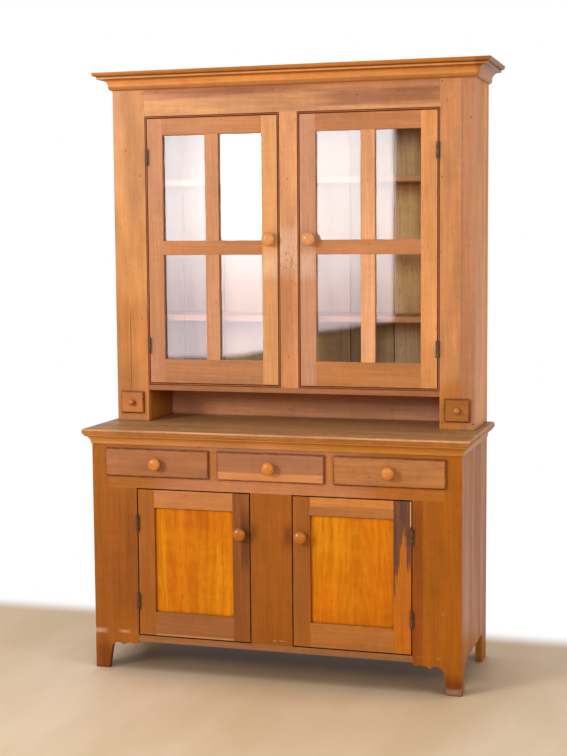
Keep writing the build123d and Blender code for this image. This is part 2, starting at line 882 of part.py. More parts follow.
finish("base_inner_stiles",
       board((-panel_opening_inner, panel_opening_inner), base_frame,
             (panel_opening_low, panel_opening_high)),
       *[board(on_side(side, divider_near, divider_far), base_frame, (drawer_low, drawer_high))
         for side in SIDES.values()])
finish("base_rails",
       board((-drawer_field, drawer_field), base_frame, (drawer_high, worktop_underside)),
       board((-drawer_field, drawer_field), base_frame, (panel_opening_high, drawer_low)),
       board((-panel_opening_outer, panel_opening_outer), base_frame,
             (foot_clearance, panel_opening_low)))
base_board_x = (-base_inner - housing_depth, base_inner + housing_depth)
finish("base_boards",
       board(base_board_x, (base_frame_back, board_front), bottom_board_levels),
       board(base_board_x, (base_frame_back + base_shelf_setback, board_front),
             base_shelf_levels))
finish("base_back_boards",
       *back_boards(base_inner + back_rebate, (foot_clearance, worktop_underside)))
finish("drawer_runners",
       *[runner(on_side(side, drawer_field - runner_ledge, base_inner),
                on_side(side, drawer_field, base_inner), base_frame_back, drawer_low)
         for side in SIDES.values()],
       *[runner(on_side(side, divider_near - runner_ledge, divider_far + runner_ledge),
                on_side(side, divider_near, divider_far), base_frame_back, drawer_low)
         for side in SIDES.values()])
finish("worktop", worktop())
finish("cove_mouldings", *mouldings(cove_section, base_half, base_front, cove_projection))

finish("hutch_center_stile",
       board((-glass_opening_inner, glass_opening_inner), hutch_frame,
             (glass_opening_low, glass_opening_high)))
finish("hutch_rails",
       board((-glass_opening_outer, glass_opening_outer), hutch_frame,
             (glass_opening_high, case_top)),
       board((-glass_opening_outer, glass_opening_outer), hutch_frame,
             (niche_top, glass_opening_low)))
hutch_board_x = (-hutch_inner - housing_depth, hutch_inner + housing_depth)
finish("hutch_boards",
       *[board(hutch_board_x, hutch_board_depth(name), levels)
         for name, levels in hutch_board_levels.items()],
       board((-glass_opening_outer, glass_opening_outer),
             (board_front - niche_back_thickness, board_front), (base_height, niche_top)))
finish("hutch_back_boards",
       *back_boards(hutch_inner + back_rebate, (base_height, case_top)))
finish("cornice_mouldings",
       *mouldings(cornice_section, hutch_half, hutch_front, cornice_projection))
finish("opening_beads", *opening_beads(SIDES["left"]), *opening_beads(SIDES["right"]))
finish("small_drawer_housings",
       *[board(on_side(side, glass_opening_outer, partition_outer),
               (hutch_frame_back, board_front), (base_height, niche_top))
         for side in SIDES.values()],
       *[runner(on_side(side, partition_outer, partition_outer + small_runner_width),
                on_side(side, partition_outer, small_opening_inner), hutch_frame_back,
                small_low)
         for side in SIDES.values()],
       *[runner(on_side(side, hutch_inner - small_runner_width, hutch_inner),
                on_side(side, small_opening_outer, hutch_inner), hutch_frame_back, small_low)
         for side in SIDES.values()])

case_hinges = [(glass_axis_x, hutch_front, level) for level in glass_hinges]
case_hinges += [(panel_axis_x, base_front, level) for level in panel_hinges]
finish("case_hinge_leaves",
       *[hinge_leaf(side, *place, on_case=True)
         for side in SIDES.values() for place in case_hinges],
       *[hinge_pin(side, *place) for side in SIDES.values() for place in case_hinges])
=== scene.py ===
"""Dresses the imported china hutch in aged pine, old glass and iron, and sets it in a studio.

Every length is in metres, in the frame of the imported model: the front faces -Y, +X is to
the right of someone who faces it, and the floor is Z = 0.
"""
import json
import logging
import math
from dataclasses import dataclass, replace
from enum import Enum
from typing import Any, Callable, ClassVar, Optional, Sequence

import bmesh
import bpy
from mathutils import Matrix, Vector


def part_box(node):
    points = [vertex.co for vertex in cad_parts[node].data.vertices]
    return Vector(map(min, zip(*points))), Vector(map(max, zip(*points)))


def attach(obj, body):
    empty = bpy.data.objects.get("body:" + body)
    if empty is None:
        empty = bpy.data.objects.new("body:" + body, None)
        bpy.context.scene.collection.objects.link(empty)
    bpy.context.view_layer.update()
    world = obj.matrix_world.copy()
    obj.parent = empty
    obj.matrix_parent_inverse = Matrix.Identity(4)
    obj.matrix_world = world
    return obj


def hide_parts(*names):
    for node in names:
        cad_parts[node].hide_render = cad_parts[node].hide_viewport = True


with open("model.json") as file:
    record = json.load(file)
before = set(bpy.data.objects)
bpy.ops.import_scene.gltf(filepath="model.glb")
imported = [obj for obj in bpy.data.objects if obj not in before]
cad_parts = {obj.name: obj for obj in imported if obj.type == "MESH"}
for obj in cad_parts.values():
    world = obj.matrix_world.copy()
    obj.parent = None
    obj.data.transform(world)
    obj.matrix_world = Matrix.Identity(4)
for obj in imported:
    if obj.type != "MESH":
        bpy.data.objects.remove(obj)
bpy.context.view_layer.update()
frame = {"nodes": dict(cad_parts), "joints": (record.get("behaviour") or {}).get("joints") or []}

log = logging.getLogger("china_hutch")

Triple = tuple[float, float, float]
Colour = Triple
Span = tuple[float, float]
Box = tuple[Vector, Vector]
Socket = bpy.types.NodeSocket
MM = 0.001
SIDES = {"left": -1, "right": 1}
BACK_BOARDS = 8
WHITE = (1.0, 1.0, 1.0)
# The turn that makes a piece drawn facing up face the front.
TO_FRONT = (math.pi / 2, 0, 0)
# How far a board's pattern is squeezed along its grain.
DRAWN_OUT = 0.045
# A mark smaller than this is nicked finely at its edge instead of frayed along the grain.
SMALL_MARK = 30 * MM


def paint(code: str) -> Colour:
    """A colour written as six hex digits, as linear light.

    Args:
        code: The colour as it looks on a screen, such as "c88c50".

    Returns:
        Its red, green and blue in linear light.
    """
    shares = [int(code[start:start + 2], 16) / 255 for start in (0, 2, 4)]
    linear = [c / 12.92 if c <= 0.04045 else ((c + 0.055) / 1.055) ** 2.4 for c in shares]
    return (linear[0], linear[1], linear[2])


@dataclass(frozen=True)
class Cloud:
    """A cloudy noise.

    Attributes:
        scale: How fine it is, in lumps to the metre.
        detail: How many finer layers lie over it.
        roughness: How strong the finer layers are.
        distortion: How far it is twisted.
    """

    scale: float
    detail: float = 3.0
    roughness: float = 0.55
    distortion: float = 0.0


class Wiring:
    """A material's or world's node tree, with short calls for the nodes used here."""

    def __init__(self, name: str, world: bool = False) -> None:
        """Start an empty material or world.

        Args:
            name: Its name.
            world: Whether it is a world.
        """
        self.material = (bpy.data.worlds if world else bpy.data.materials).new(name)
        self.material.use_nodes = True
        self.tree = self.material.node_tree
        self.tree.nodes.clear()
        kind = "ShaderNodeOutputWorld" if world else "ShaderNodeOutputMaterial"
        self.output = self.tree.nodes.new(kind)

    def feed(self, socket: Socket, value: Any) -> None:
        """Link a socket to another, or set its own value.

        Args:
            socket: The input.
            value: An output socket, a number, a vector or a colour.
        """
        if isinstance(value, bpy.types.NodeSocket):
            self.tree.links.new(value, socket)
        elif socket.type == "RGBA" and len(value) == 3:
            socket.default_value = (*value, 1.0)
        else:
            socket.default_value = value

    def add(self, kind: str, feeds: Optional[dict[str, Any]] = None,
            **settings: Any) -> bpy.types.Node:
        """Add a node.

        Args:
            kind: The node's type.
            feeds: What goes into its inputs, by their names.
            settings: Its options, such as operation="ADD".

        Returns:
            The node.
        """
        node = self.tree.nodes.new(kind)
        for name, value in settings.items():
            setattr(node, name, value)
        for name, value in (feeds or {}).items():
            self.feed(node.inputs[name], value)
        return node

    def math(self, operation: str, *values: Any) -> Socket:
        """A sum on numbers.

        Args:
            operation: The kind of sum, such as "ADD".
            values: Sockets or numbers.

        Returns:
            The result.
        """
        node = self.add("ShaderNodeMath", operation=operation)
        for socket, value in zip(node.inputs, values):
            self.feed(socket, value)
        return node.outputs[0]

    def vector(self, operation: str, *values: Any) -> bpy.types.Node:
        """A sum on vectors.

        Args:
            operation: The kind of sum, such as "DOT_PRODUCT".
            values: Sockets or vectors.

        Returns:
            The node, whose outputs are a vector and a number.
        """
        node = self.add("ShaderNodeVectorMath", operation=operation)
        for socket, value in zip(node.inputs, values):
            self.feed(socket, value)
        return node

    def scaled(self, vector: Any, factor: Any) -> Socket:
        """A vector or colour times a number.

        Args:
            vector: The vector or colour.
            factor: The number.

        Returns:
            The product.
        """
        node = self.vector("SCALE", vector)
        self.feed(node.inputs["Scale"], factor)
        return node.outputs[0]

    def mix(self, share: Any, first: Any, second: Any, kind: str = "MIX") -> Socket:
        """A blend of two colours.

        Args:
            share: How much of the second shows.
            first: The colour underneath.
            second: The colour on top.
            kind: How the second acts on the first.

        Returns:
            The blended colour.
        """
        node = self.add("ShaderNodeMix", data_type="RGBA", blend_type=kind)
        for index, value in ((0, share), (6, first), (7, second)):
            self.feed(node.inputs[index], value)
        return node.outputs[2]

    def between(self, share: Any, first: Any, second: Any) -> Socket:
        """A vector part of the way from one to another.

        Args:
            share: How far along the way it is.
            first: The vector at 0.
            second: The vector at 1.

        Returns:
            The vector.
        """
        node = self.add("ShaderNodeMix", data_type="VECTOR")
        for index, value in ((0, share), (4, first), (5, second)):
            self.feed(node.inputs[index], value)
        return node.outputs[1]

    def span(self, value: Any, start: float, end: float, low: float = 0.0,
             high: float = 1.0) -> Socket:
        """A smooth step between two values.

        Args:
            value: What is stepped.
            start: Where the step begins.
            end: Where it ends, which may lie below start.
            low: The result at the beginning.
            high: The result at the end.

        Returns:
            The stepped value.
        """
        feeds = {"Value": value, "From Min": start, "From Max": end, "To Min": low,
                 "To Max": high}
        return self.add("ShaderNodeMapRange", feeds,
                        interpolation_type="SMOOTHSTEP").outputs["Result"]

    def noise(self, point: Socket, cloud: Cloud) -> Socket:
        """Cloudy noise.

        Args:
            point: Where it is read.
            cloud: What the noise is like.

        Returns:
            A number from 0 to 1.
        """
        feeds = {"Vector": point, "Scale": cloud.scale, "Detail": cloud.detail,
                 "Roughness": cloud.roughness, "Distortion": cloud.distortion}
        return self.add("ShaderNodeTexNoise", feeds).outputs[0]

    def here(self) -> Socket:
        """The point on the piece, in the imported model's frame at rest."""
        return self.add("ShaderNodeTexCoord").outputs["Object"]

    def parts(self, vector: Socket) -> Sequence[Socket]:
        """The three numbers of a vector."""
        return self.add("ShaderNodeSeparateXYZ", {"Vector": vector}).outputs

    def squeezed(self, point: Socket, scale: Triple, shift: Triple = (0, 0, 0)) -> Socket:
        """A point with each axis scaled, and then moved."""
        feeds = {"Vector": point, "Scale": scale, "Location": shift}
        return self.add("ShaderNodeMapping", feeds).outputs[0]

    def aside(self, value: Socket, ends: Span) -> Socket:
        """How far a value lies from the middle of a span, either way."""
        return self.math("ABSOLUTE", self.math("SUBTRACT", value, sum(ends) / 2))

    def bump(self, height: Socket, strength: float, depth: float,
             normal: Optional[Socket] = None) -> Socket:
        """The way a surface faces, with a fine relief on it.

        Args:
            height: The relief, from 0 to 1.
            strength: How much of it shows.
            depth: How deep it is.
            normal: The way the surface faces without it, if that isn't the mesh's own.

        Returns:
            The direction.
        """
        feeds = {"Height": height, "Strength": strength, "Distance": depth}
        if normal is not None:
            feeds["Normal"] = normal
        return self.add("ShaderNodeBump", feeds).outputs[0]

    def surface(self, colour: Socket, **feeds: Any) -> bpy.types.Node:
        """A surface's shader, with what it is fed besides its colour."""
        named = {name.replace("_", " "): value for name, value in feeds.items()}
        return self.add("ShaderNodeBsdfPrincipled", {"Base Color": colour, **named})

    def over(self, share: Socket, under: bpy.types.Node,
             above: bpy.types.Node) -> bpy.types.Node:
        """One shader over another.

        Args:
            share: How much of the upper one shows.
            under: The lower shader.
            above: The upper shader.

        Returns:
            The shader of both.
        """
        both = self.add("ShaderNodeMixShader", {"Fac": share})
        self.feed(both.inputs[1], under.outputs[0])
        self.feed(both.inputs[2], above.outputs[0])
        return both

    def finish(self, shader: bpy.types.Node) -> bpy.types.Material:
        """Show a shader on the surface and give back the material."""
        self.tree.links.new(shader.outputs[0], self.output.inputs["Surface"])
        return self.material


class Grain(Enum):
    """Which way the timber's grain runs, as the squeeze that draws it out."""

    UPRIGHT = (1.0, 1.0, DRAWN_OUT)
    ACROSS = (DRAWN_OUT, 1.0, 1.0)
    DEEP = (1.0, DRAWN_OUT, 1.0)

    def eased(self, least: float) -> Triple:
        """A weaker squeeze the same way, for patches that are less drawn out."""
        return tuple(max(share, least) for share in self.value)

    @property
    def curl(self) -> Triple:
        """The squeeze that draws the curl out across the grain instead."""
        return tuple(1.0 if share < 1 else 0.3 for share in self.value)


class Figure(Enum):
    """How the growth rings show on the board's face."""

    STRAIGHT = (1.0, 7.0, 0.22, 0.05, 0.15)
    ARCHED = (0.16, 5.0, 0.5, 0.05, 0.10)
    CURLY = (0.3, 12.0, 0.5, 0.02, 0.10)

    def __init__(self, rise: float, wander: float, fineness: float, ring: float,
                 curl: float) -> None:
        """Name the numbers of a figure.

        Args:
            rise: How far arched rings are squeezed up and down the board.
            wander: How far the rings wander.
            fineness: How finely they wander.
            ring: The weight of the rings in the figure.
            curl: The weight of the curl across them.
        """
        self.rise = rise
        self.wander = wander
        self.fineness = fineness
        self.ring = ring
        self.curl = curl


@dataclass(frozen=True)
class Mark:
    """A place on a piece whose colour differs, such as a stain, bare wood, a crack, painted
    shade or a painted highlight.

    Attributes:
        x: Its ends across, or from front to back on a side board.
        z: Its bottom and top.
        colour: Its colour, as hex digits.
        strength: How much of it shows.
        soft: The share of its size over which it fades out.
        ragged: How far its edge wanders along the grain, as a share of its size.
        tint: Whether it colours the wood under it instead of covering it.
        speckle: The share of it that is broken up into small specks and chips.
    """

    x: Span
    z: Span
    colour: str
    strength: float = 1.0
    soft: float = 0.3
    ragged: float = 0.0
    tint: bool = True
    speckle: float = 0.0

    NICKS: ClassVar[Cloud] = Cloud(240.0, 3.0, 0.7)
    FRAYS: ClassVar[Cloud] = Cloud(60.0, 4.0, 0.7)
    CHIPS: ClassVar[Cloud] = Cloud(110.0, 4.0, 0.7)

    @property
    def size(self) -> Span:
        """Its width and height."""
        return (self.x[1] - self.x[0], self.z[1] - self.z[0])

    def uneven(self, wiring: Wiring, value: Socket, noise: Socket) -> Socket:
        """A value that noise pushes both ways, as far as the mark is ragged.

        Args:
            wiring: The material's nodes.
            value: The value.
            noise: The noise, from 0 to 1.

        Returns:
            The value with the noise in it.
        """
        drift = wiring.math("MULTIPLY_ADD", noise, 4 * self.ragged, -2 * self.ragged)
        return wiring.math("ADD", value, drift)

    def cover(self, wiring: Wiring, here: Socket, grain: Socket, across: int) -> Socket:
        """How much of the mark shows at a point.

        Args:
            wiring: The material's nodes.
            here: The point on the piece.
            grain: The same point, drawn out along the grain.
            across: The axis that x is measured on.

        Returns:
            A share from 0 to the mark's strength.
        """
        axes = wiring.parts(here)
        reach = [wiring.math("DIVIDE", wiring.aside(axes[axis], ends), length / 2)
                 for axis, ends, length in zip((across, 2), (self.x, self.z), self.size)]
        distance = wiring.math("MAXIMUM", *reach)
        if self.ragged:
            small = min(self.size) < SMALL_MARK
            noise = wiring.noise(*((here, self.NICKS) if small else (grain, self.FRAYS)))
            distance = self.uneven(wiring, distance, noise)
        cover = wiring.span(distance, 1 + self.soft / 2, 1 - self.soft / 2, 0.0,
                            self.strength)
        if not self.speckle:
            return cover
        chips = wiring.noise(wiring.squeezed(here, (1.0, 1.0, 0.5)), self.CHIPS)
        edge = 0.3 + 0.3 * self.speckle
        return wiring.math("MULTIPLY", cover, wiring.span(chips, edge, edge + 0.16))


@dataclass(frozen=True)
class Stain(Mark):
    """A stain that has run down a board from its top and thins out in slivers.

    Attributes:
        taper: The share of its width that it loses on its way down.
        sliver: How wide its slivers are.
    """

    taper: float = 0.9
    sliver: float = 9 * MM

    DEPTH: ClassVar[Cloud] = Cloud(90.0, 3.0, 0.6)

    def cover(self, wiring: Wiring, here: Socket, grain: Socket, across: int) -> Socket:
        """How much of the stain shows at a point.

        Args:
            wiring: The material's nodes.
            here: The point on the piece.
            grain: The same point, drawn out along the grain.
            across: The axis that x is measured on, from the stain's straight side.

        Returns:
            A share from 0 to the stain's strength.
        """
        axes = wiring.parts(here)
        width, height = self.size
        share = wiring.math("SUBTRACT", axes[across], self.x[0])
        share = wiring.math("DIVIDE", share, width)
        down = wiring.math("SUBTRACT", self.z[1], axes[2])
        down = wiring.math("DIVIDE", down, height)
        limit = wiring.math("MULTIPLY_ADD", down, -self.taper, 1.0)
        slivers = wiring.noise(wiring.squeezed(here, (1.0, 1.0, 0.07)),
                               Cloud(1 / self.sliver, 2.0, 0.7))
        inside = wiring.math("SUBTRACT", self.uneven(wiring, limit, slivers), share)
        most = wiring.span(wiring.noise(grain, self.DEPTH), 0.3, 0.7, 0.75 * self.strength,
                           self.strength)
        most = wiring.math("MULTIPLY", most, wiring.math("GREATER_THAN", share, 0.0))
        edge = wiring.span(inside, -self.soft / 2, self.soft / 2)
        return wiring.math("MULTIPLY", edge, most)


@dataclass(frozen=True)
class ShadeAndSoilRim(Mark):
    """A darker line along the four edges of a board: painted shade of a moulded edge, with some
    soiling.

    Attributes:
        inset: How far the line runs from the edges.
        width: How wide the line is.
    """

    inset: float = 2 * MM
    width: float = 4.5 * MM

    LINE_PATCHES: ClassVar[Cloud] = Cloud(30.0)

    def cover(self, wiring: Wiring, here: Socket, grain: Socket, across: int) -> Socket:
        """How much of the line shows at a point.

        Args:
            wiring: The material's nodes.
            here: The point on the piece.
            grain: The same point, drawn out along the grain.
            across: The axis that x is measured on.

        Returns:
            A share from 0 to the line's strength.
        """
        axes = wiring.parts(here)
        near = [wiring.math("SUBTRACT", length / 2, wiring.aside(axes[axis], ends))
                for axis, ends, length in zip((across, 2), (self.x, self.z), self.size)]
        depth = wiring.math("MINIMUM", *near)
        off = wiring.math("ABSOLUTE", wiring.math("SUBTRACT", depth, self.inset))
        uneven = wiring.span(wiring.noise(here, self.LINE_PATCHES), 0.3, 0.7, 0.5 * self.strength,
                             self.strength)
        return wiring.math("MULTIPLY", wiring.span(off, self.width, 0.0), uneven)


def tone_of(x: Span, z: Span, colour: str, strength: float = 1.0) -> Mark:
    """The tone of one board where a node holds boards of several tones.

    Args:
        x: Its ends across.
        z: Its bottom and top.
        colour: Its colour, as hex digits.
        strength: How much of it shows.

    Returns:
        A mark with a sharp edge that covers the board.
    """
    return Mark(x, z, colour, strength, 0.02, tint=False)


def patch(x: Span, z: Span, colour: str, strength: float, soft: float, ragged: float = 0.0,
          speckle: float = 0.0) -> Mark:
    """A faded patch, scuff, painted shade or painted highlight that covers the wood.

    Args:
        x: Its ends across.
        z: Its bottom and top.
        colour: Its colour, as hex digits.
        strength: How much of it shows.
        soft: The share of its size over which it fades out.
        ragged: How far its edge wanders.
        speckle: The share of it that is broken up.

    Returns:
        The mark.
    """
    return Mark(x, z, colour, strength, soft, ragged, tint=False, speckle=speckle)


@dataclass(frozen=True)
class Pine:
    """Aged pine under old shellac.

    Attributes:
        tone: The mean colour, as hex digits.
        grain: Which way the grain runs.
        figure: How the growth rings show.
        contrast: How strongly the grain shows.
        pitch: The distance between growth rings.
        seed: Which part of the timber this board is cut from.
        centre: The middle of arched or curly figure, across and up.
        marks: Stains, bare places, cracks, painted shade and painted highlights.
        side_view: Whether marks are placed on the side of the piece, not the front.
        corner: Half width and front of a moulding that turns a corner.
        board: Width of the boards, where one node holds several side by side.
        rough: How matt the surface is.
        gloss: How much light its varnish throws back.
        soil_and_shade: How dark the corners are made, by soiling and painted shade.
        wear: How pale the worn edges are.
        blotch: How uneven the colour is.
        amber: How far the pale wood turns yellow, and the dark wood red.
    """

    tone: str
    grain: Grain = Grain.UPRIGHT
    figure: Figure = Figure.STRAIGHT
    contrast: float = 0.5
    pitch: float = 0.016
    seed: float = 0.0
    centre: Span = (0.0, 0.0)
    marks: tuple[Mark, ...] = ()
    side_view: bool = False
    corner: Optional[Span] = None
    board: float = 0.0
    rough: float = 0.42
    gloss: float = 0.22
    soil_and_shade: float = 0.75
    wear: float = 0.35
    blotch: float = 0.12
    amber: float = 0.0

    STREAKS: ClassVar[Cloud] = Cloud(70.0, 4.0, 0.65, 0.3)
    BANDS: ClassVar[Cloud] = Cloud(22.0, 2.0, 0.5)
    PORES: ClassVar[Cloud] = Cloud(480.0, 2.0, 0.6)
    CURL: ClassVar[Cloud] = Cloud(42.0, 3.0, 0.6)
    MOTTLE: ClassVar[Cloud] = Cloud(26.0, 3.0, 0.6)
    CLOUDS: ClassVar[Cloud] = Cloud(9.0, 3.0, 0.6)
    WARMTH: ClassVar[Cloud] = Cloud(5.0, 2.0)
    SPECKS: ClassVar[Cloud] = Cloud(130.0, 1.0)
    RUBBED: ClassVar[Cloud] = Cloud(35.0)
    SHINE: ClassVar[Cloud] = Cloud(18.0)
    # How far to either side of its middle the figure turns fully pale or dark.
    SPREAD: ClassVar[float] = 0.16
    # How far round an edge it is worn.
    EDGE: ClassVar[float] = 1.6 * MM
    # How near another face the soiling and painted shade gather.
    CREVICE: ClassVar[float] = 14 * MM
    # The width of the dark line between two boards of a row.
    CRACK: ClassVar[float] = 2.5 * MM

    def drawn_out(self, wiring: Wiring, here: Socket) -> Socket:
        """The point with the piece's own timber drawn out along its grain.

        Args:
            wiring: The material's nodes.
            here: The point on the piece.

        Returns:
            The point in the timber.
        """
        shift = (self.seed * 1.7, self.seed * 0.9, self.seed * 2.3)
        point = wiring.squeezed(here, self.grain.value, shift)
        x, y, _ = wiring.parts(here)[:3]
        if self.corner:
            half, front = self.corner
            out = wiring.math("SUBTRACT", wiring.math("ABSOLUTE", x), half)
            ahead = wiring.math("SUBTRACT", front, y)
            at_side = wiring.math("GREATER_THAN", out, ahead)
            returned = wiring.squeezed(here, Grain.DEEP.value, shift)
            point = wiring.between(at_side, point, returned)
        if self.board:
            own = wiring.scaled(self.chance(wiring, x).outputs["Color"], 7.0)
            point = wiring.vector("ADD", point, own).outputs[0]
        return point

    def chance(self, wiring: Wiring, x: Socket) -> bpy.types.Node:
        """A random value for each board of a row."""
        index = wiring.math("FLOOR", wiring.math("DIVIDE", x, self.board))
        return wiring.add("ShaderNodeTexWhiteNoise", {"W": index}, noise_dimensions="1D")

    def joint(self, wiring: Wiring, x: Socket) -> Socket:
        """The dark line where two boards of a row meet.

        Args:
            wiring: The material's nodes.
            x: The place across the row.

        Returns:
            A share from 0, on a board, to 1, in the line.
        """
        place = wiring.math("FRACT", wiring.math("DIVIDE", x, self.board))
        off = wiring.math("ABSOLUTE", wiring.math("SUBTRACT", place, 0.5))
        width = self.CRACK / self.board
        return wiring.span(off, 0.5 - width, 0.5 - width / 3)

    def rings(self, wiring: Wiring, here: Socket, grain: Socket) -> Socket:
        """The growth rings.

        Args:
            wiring: The material's nodes.
            here: The point on the piece.
            grain: The same point, drawn out along the grain.

        Returns:
            A number from 0 in the pale wood to 1 in the dark.
        """
        rise = self.figure.rise
        feeds = {"Vector": grain, "Scale": 2 * math.pi / (10 * self.pitch),
                 "Distortion": self.figure.wander, "Detail": 3.0,
                 "Detail Scale": self.figure.fineness, "Detail Roughness": 0.5}
        lie = {"wave_type": "BANDS", "bands_direction": "DIAGONAL"}
        if self.figure is not Figure.STRAIGHT:
            middle = (-self.centre[0], 0.0, -self.centre[1] * rise)
            feeds["Vector"] = wiring.squeezed(here, (1.0, 0.1, rise), middle)
            lie = {"wave_type": "RINGS", "rings_direction": "Y"}
        return wiring.add("ShaderNodeTexWave", feeds, wave_profile="SAW", **lie).outputs[1]

    def darkness(self, wiring: Wiring, here: Socket, grain: Socket) -> tuple[Socket, Socket]:
        """The figure of the wood and its fine relief.

        Args:
            wiring: The material's nodes.
            here: The point on the piece.
            grain: The same point, drawn out along the grain.

        Returns:
            The figure from 0, pale, to 1, dark, and a height from 0 to 1.
        """
        streaks = wiring.noise(grain, self.STREAKS)
        pores = wiring.noise(grain, self.PORES)
        layers = ((streaks, 0.32), (wiring.noise(grain, self.BANDS), 0.25), (pores, 0.18),
                  (wiring.noise(wiring.squeezed(here, self.grain.curl), self.CURL),
                   self.figure.curl),
                  (wiring.noise(wiring.squeezed(here, self.grain.eased(0.4)), self.MOTTLE),
                   0.14))
        dark = wiring.math("MULTIPLY", self.rings(wiring, here, grain), self.figure.ring)
        middle = self.figure.ring / 2
        for layer, weight in layers:
            dark = wiring.math("MULTIPLY_ADD", layer, weight, dark)
            middle += weight / 2
        relief = wiring.math("MULTIPLY_ADD", pores, 0.5, wiring.math("MULTIPLY", streaks, 0.5))
        return wiring.span(dark, middle - self.SPREAD, middle + self.SPREAD), relief

    def tones(self) -> tuple[Colour, Colour]:
        """The colours of the pale and of the dark wood.

        Returns:
            Both, in linear light.
        """
        tone, depth, amber = Vector(paint(self.tone)), self.contrast, self.amber
        pale = tone * Vector((1 + (0.30 - 0.16 * amber) * depth,
                              1 + (0.36 + 0.20 * amber) * depth, 1 + 0.36 * depth))
        deep = tone * Vector((1 - (0.34 - 0.14 * amber) * depth,
                              1 - (0.46 + 0.06 * amber) * depth, 1 - 0.56 * depth))
        return tuple(pale), tuple(deep)

    def clouded(self, wiring: Wiring, here: Socket, colour: Socket) -> Socket:
        """The colour with the clouds, warm patches and dark specks of old pine.

        Args:
            wiring: The material's nodes.
            here: The point on the piece.
            colour: The colour without them.

        Returns:
            The colour with them.
        """
        patches = wiring.squeezed(here, self.grain.eased(0.25),
                                  (3.1 + self.seed, self.seed, 0.7))
        warmth = wiring.span(wiring.noise(patches, self.WARMTH), 0.35, 0.65)
        hue = wiring.mix(warmth, (0.985, 1.0, 1.0 + self.blotch),
                         (1.015, 0.99, 1.0 - self.blotch))
        clouds = wiring.noise(patches, self.CLOUDS)
        shade = wiring.span(clouds, 0.3, 0.7, 1 - self.blotch, 1 + self.blotch)
        specks = wiring.noise(wiring.squeezed(here, self.grain.eased(0.35)), self.SPECKS)
        shade = wiring.math("MULTIPLY", shade, wiring.span(specks, 0.68, 0.78, 1.0, 0.7))
        return wiring.scaled(wiring.mix(1.0, colour, hue, "MULTIPLY"), shade)

    def in_boards(self, wiring: Wiring, here: Socket, colour: Socket) -> Socket:
        """The colour with each board of a row in a shade of its own.

        Args:
            wiring: The material's nodes.
            here: The point on the piece.
            colour: The colour of one board.

        Returns:
            The colour of the row, with dark lines between its boards.
        """
        x = wiring.parts(here)[0]
        chance = self.chance(wiring, x).outputs["Value"]
        own = wiring.scaled(colour, wiring.span(chance, 0, 1, 0.78, 1.18))
        return wiring.mix(self.joint(wiring, x), own, paint("8a5c3e"), "MULTIPLY")

    def marked(self, wiring: Wiring, here: Socket, grain: Socket, dark: Socket,
               colour: Socket) -> Socket:
        """The colour with the piece's marks, which let the figure show through.

        Args:
            wiring: The material's nodes.
            here: The point on the piece.
            grain: The same point, drawn out along the grain.
            dark: The figure from 0, pale, to 1, dark.
            colour: The colour without the marks.

        Returns:
            The colour with them.
        """
        through = wiring.span(dark, 0.0, 1.0, 1 + 0.28 * self.contrast,
                              1 - 0.36 * self.contrast)
        for mark in self.marks:
            cover = mark.cover(wiring, here, grain, 1 if self.side_view else 0)
            top = wiring.scaled(paint(mark.colour), 1.0 if mark.tint else through)
            colour = wiring.mix(cover, colour, top, "MULTIPLY" if mark.tint else "MIX")
        return colour

    def worn_and_shaded(self, wiring: Wiring, here: Socket, rounded: Socket, colour: Socket) -> Socket:
        """The colour with paler worn edges, and corners darkened by soiling and painted shade.

        Args:
            wiring: The material's nodes.
            here: The point on the piece.
            rounded: The way the surface faces, with its edges rounded.
            colour: The colour without wear.

        Returns:
            The colour with it.
        """
        flat = wiring.add("ShaderNodeNewGeometry").outputs["Normal"]
        facing = wiring.vector("DOT_PRODUCT", rounded, flat).outputs["Value"]
        open_sky = wiring.add("ShaderNodeAmbientOcclusion", {"Distance": self.CREVICE},
                              samples=4).outputs["AO"]
        worn = wiring.math("MULTIPLY", wiring.span(facing, 0.995, 0.90),
                           wiring.span(open_sky, 0.75, 0.95))
        rubbed = wiring.span(wiring.noise(here, self.RUBBED), 0.35, 0.6)
        worn = wiring.math("MULTIPLY", wiring.math("MULTIPLY", worn, rubbed), self.wear)
        colour = wiring.mix(worn, colour, paint("e8b98a"))
        # Darken the corners, where little is open round them, with soiling and painted shade.
        soil_and_shade_share = wiring.span(open_sky, 0.85, 0.35, 0.0, self.soil_and_shade)
        return wiring.mix(soil_and_shade_share, colour, paint("5a3218"), "MULTIPLY")

    def material(self, name: str) -> bpy.types.Material:
        """Make the finish.

        Args:
            name: The material's name.

        Returns:
            The material.
        """
        wiring = Wiring(name)
        here = wiring.here()
        grain = self.drawn_out(wiring, here)
        dark, relief = self.darkness(wiring, here, grain)
        colour = self.clouded(wiring, here, wiring.mix(dark, *self.tones()))
        if self.board:
            colour = self.in_boards(wiring, here, colour)
        colour = self.marked(wiring, here, grain, dark, colour)
        rounded = wiring.add("ShaderNodeBevel", {"Radius": self.EDGE}, samples=4).outputs[0]
        colour = self.worn_and_shaded(wiring, here, rounded, colour)
        rough = wiring.span(wiring.noise(grain, self.SHINE), 0.3, 0.7, self.rough - 0.07,
                            self.rough + 0.1)
        return wiring.finish(wiring.surface(
            colour, Roughness=rough, Specular_IOR_Level=self.gloss,
            Normal=wiring.bump(relief, 0.25, 0.5 * MM, rounded)))


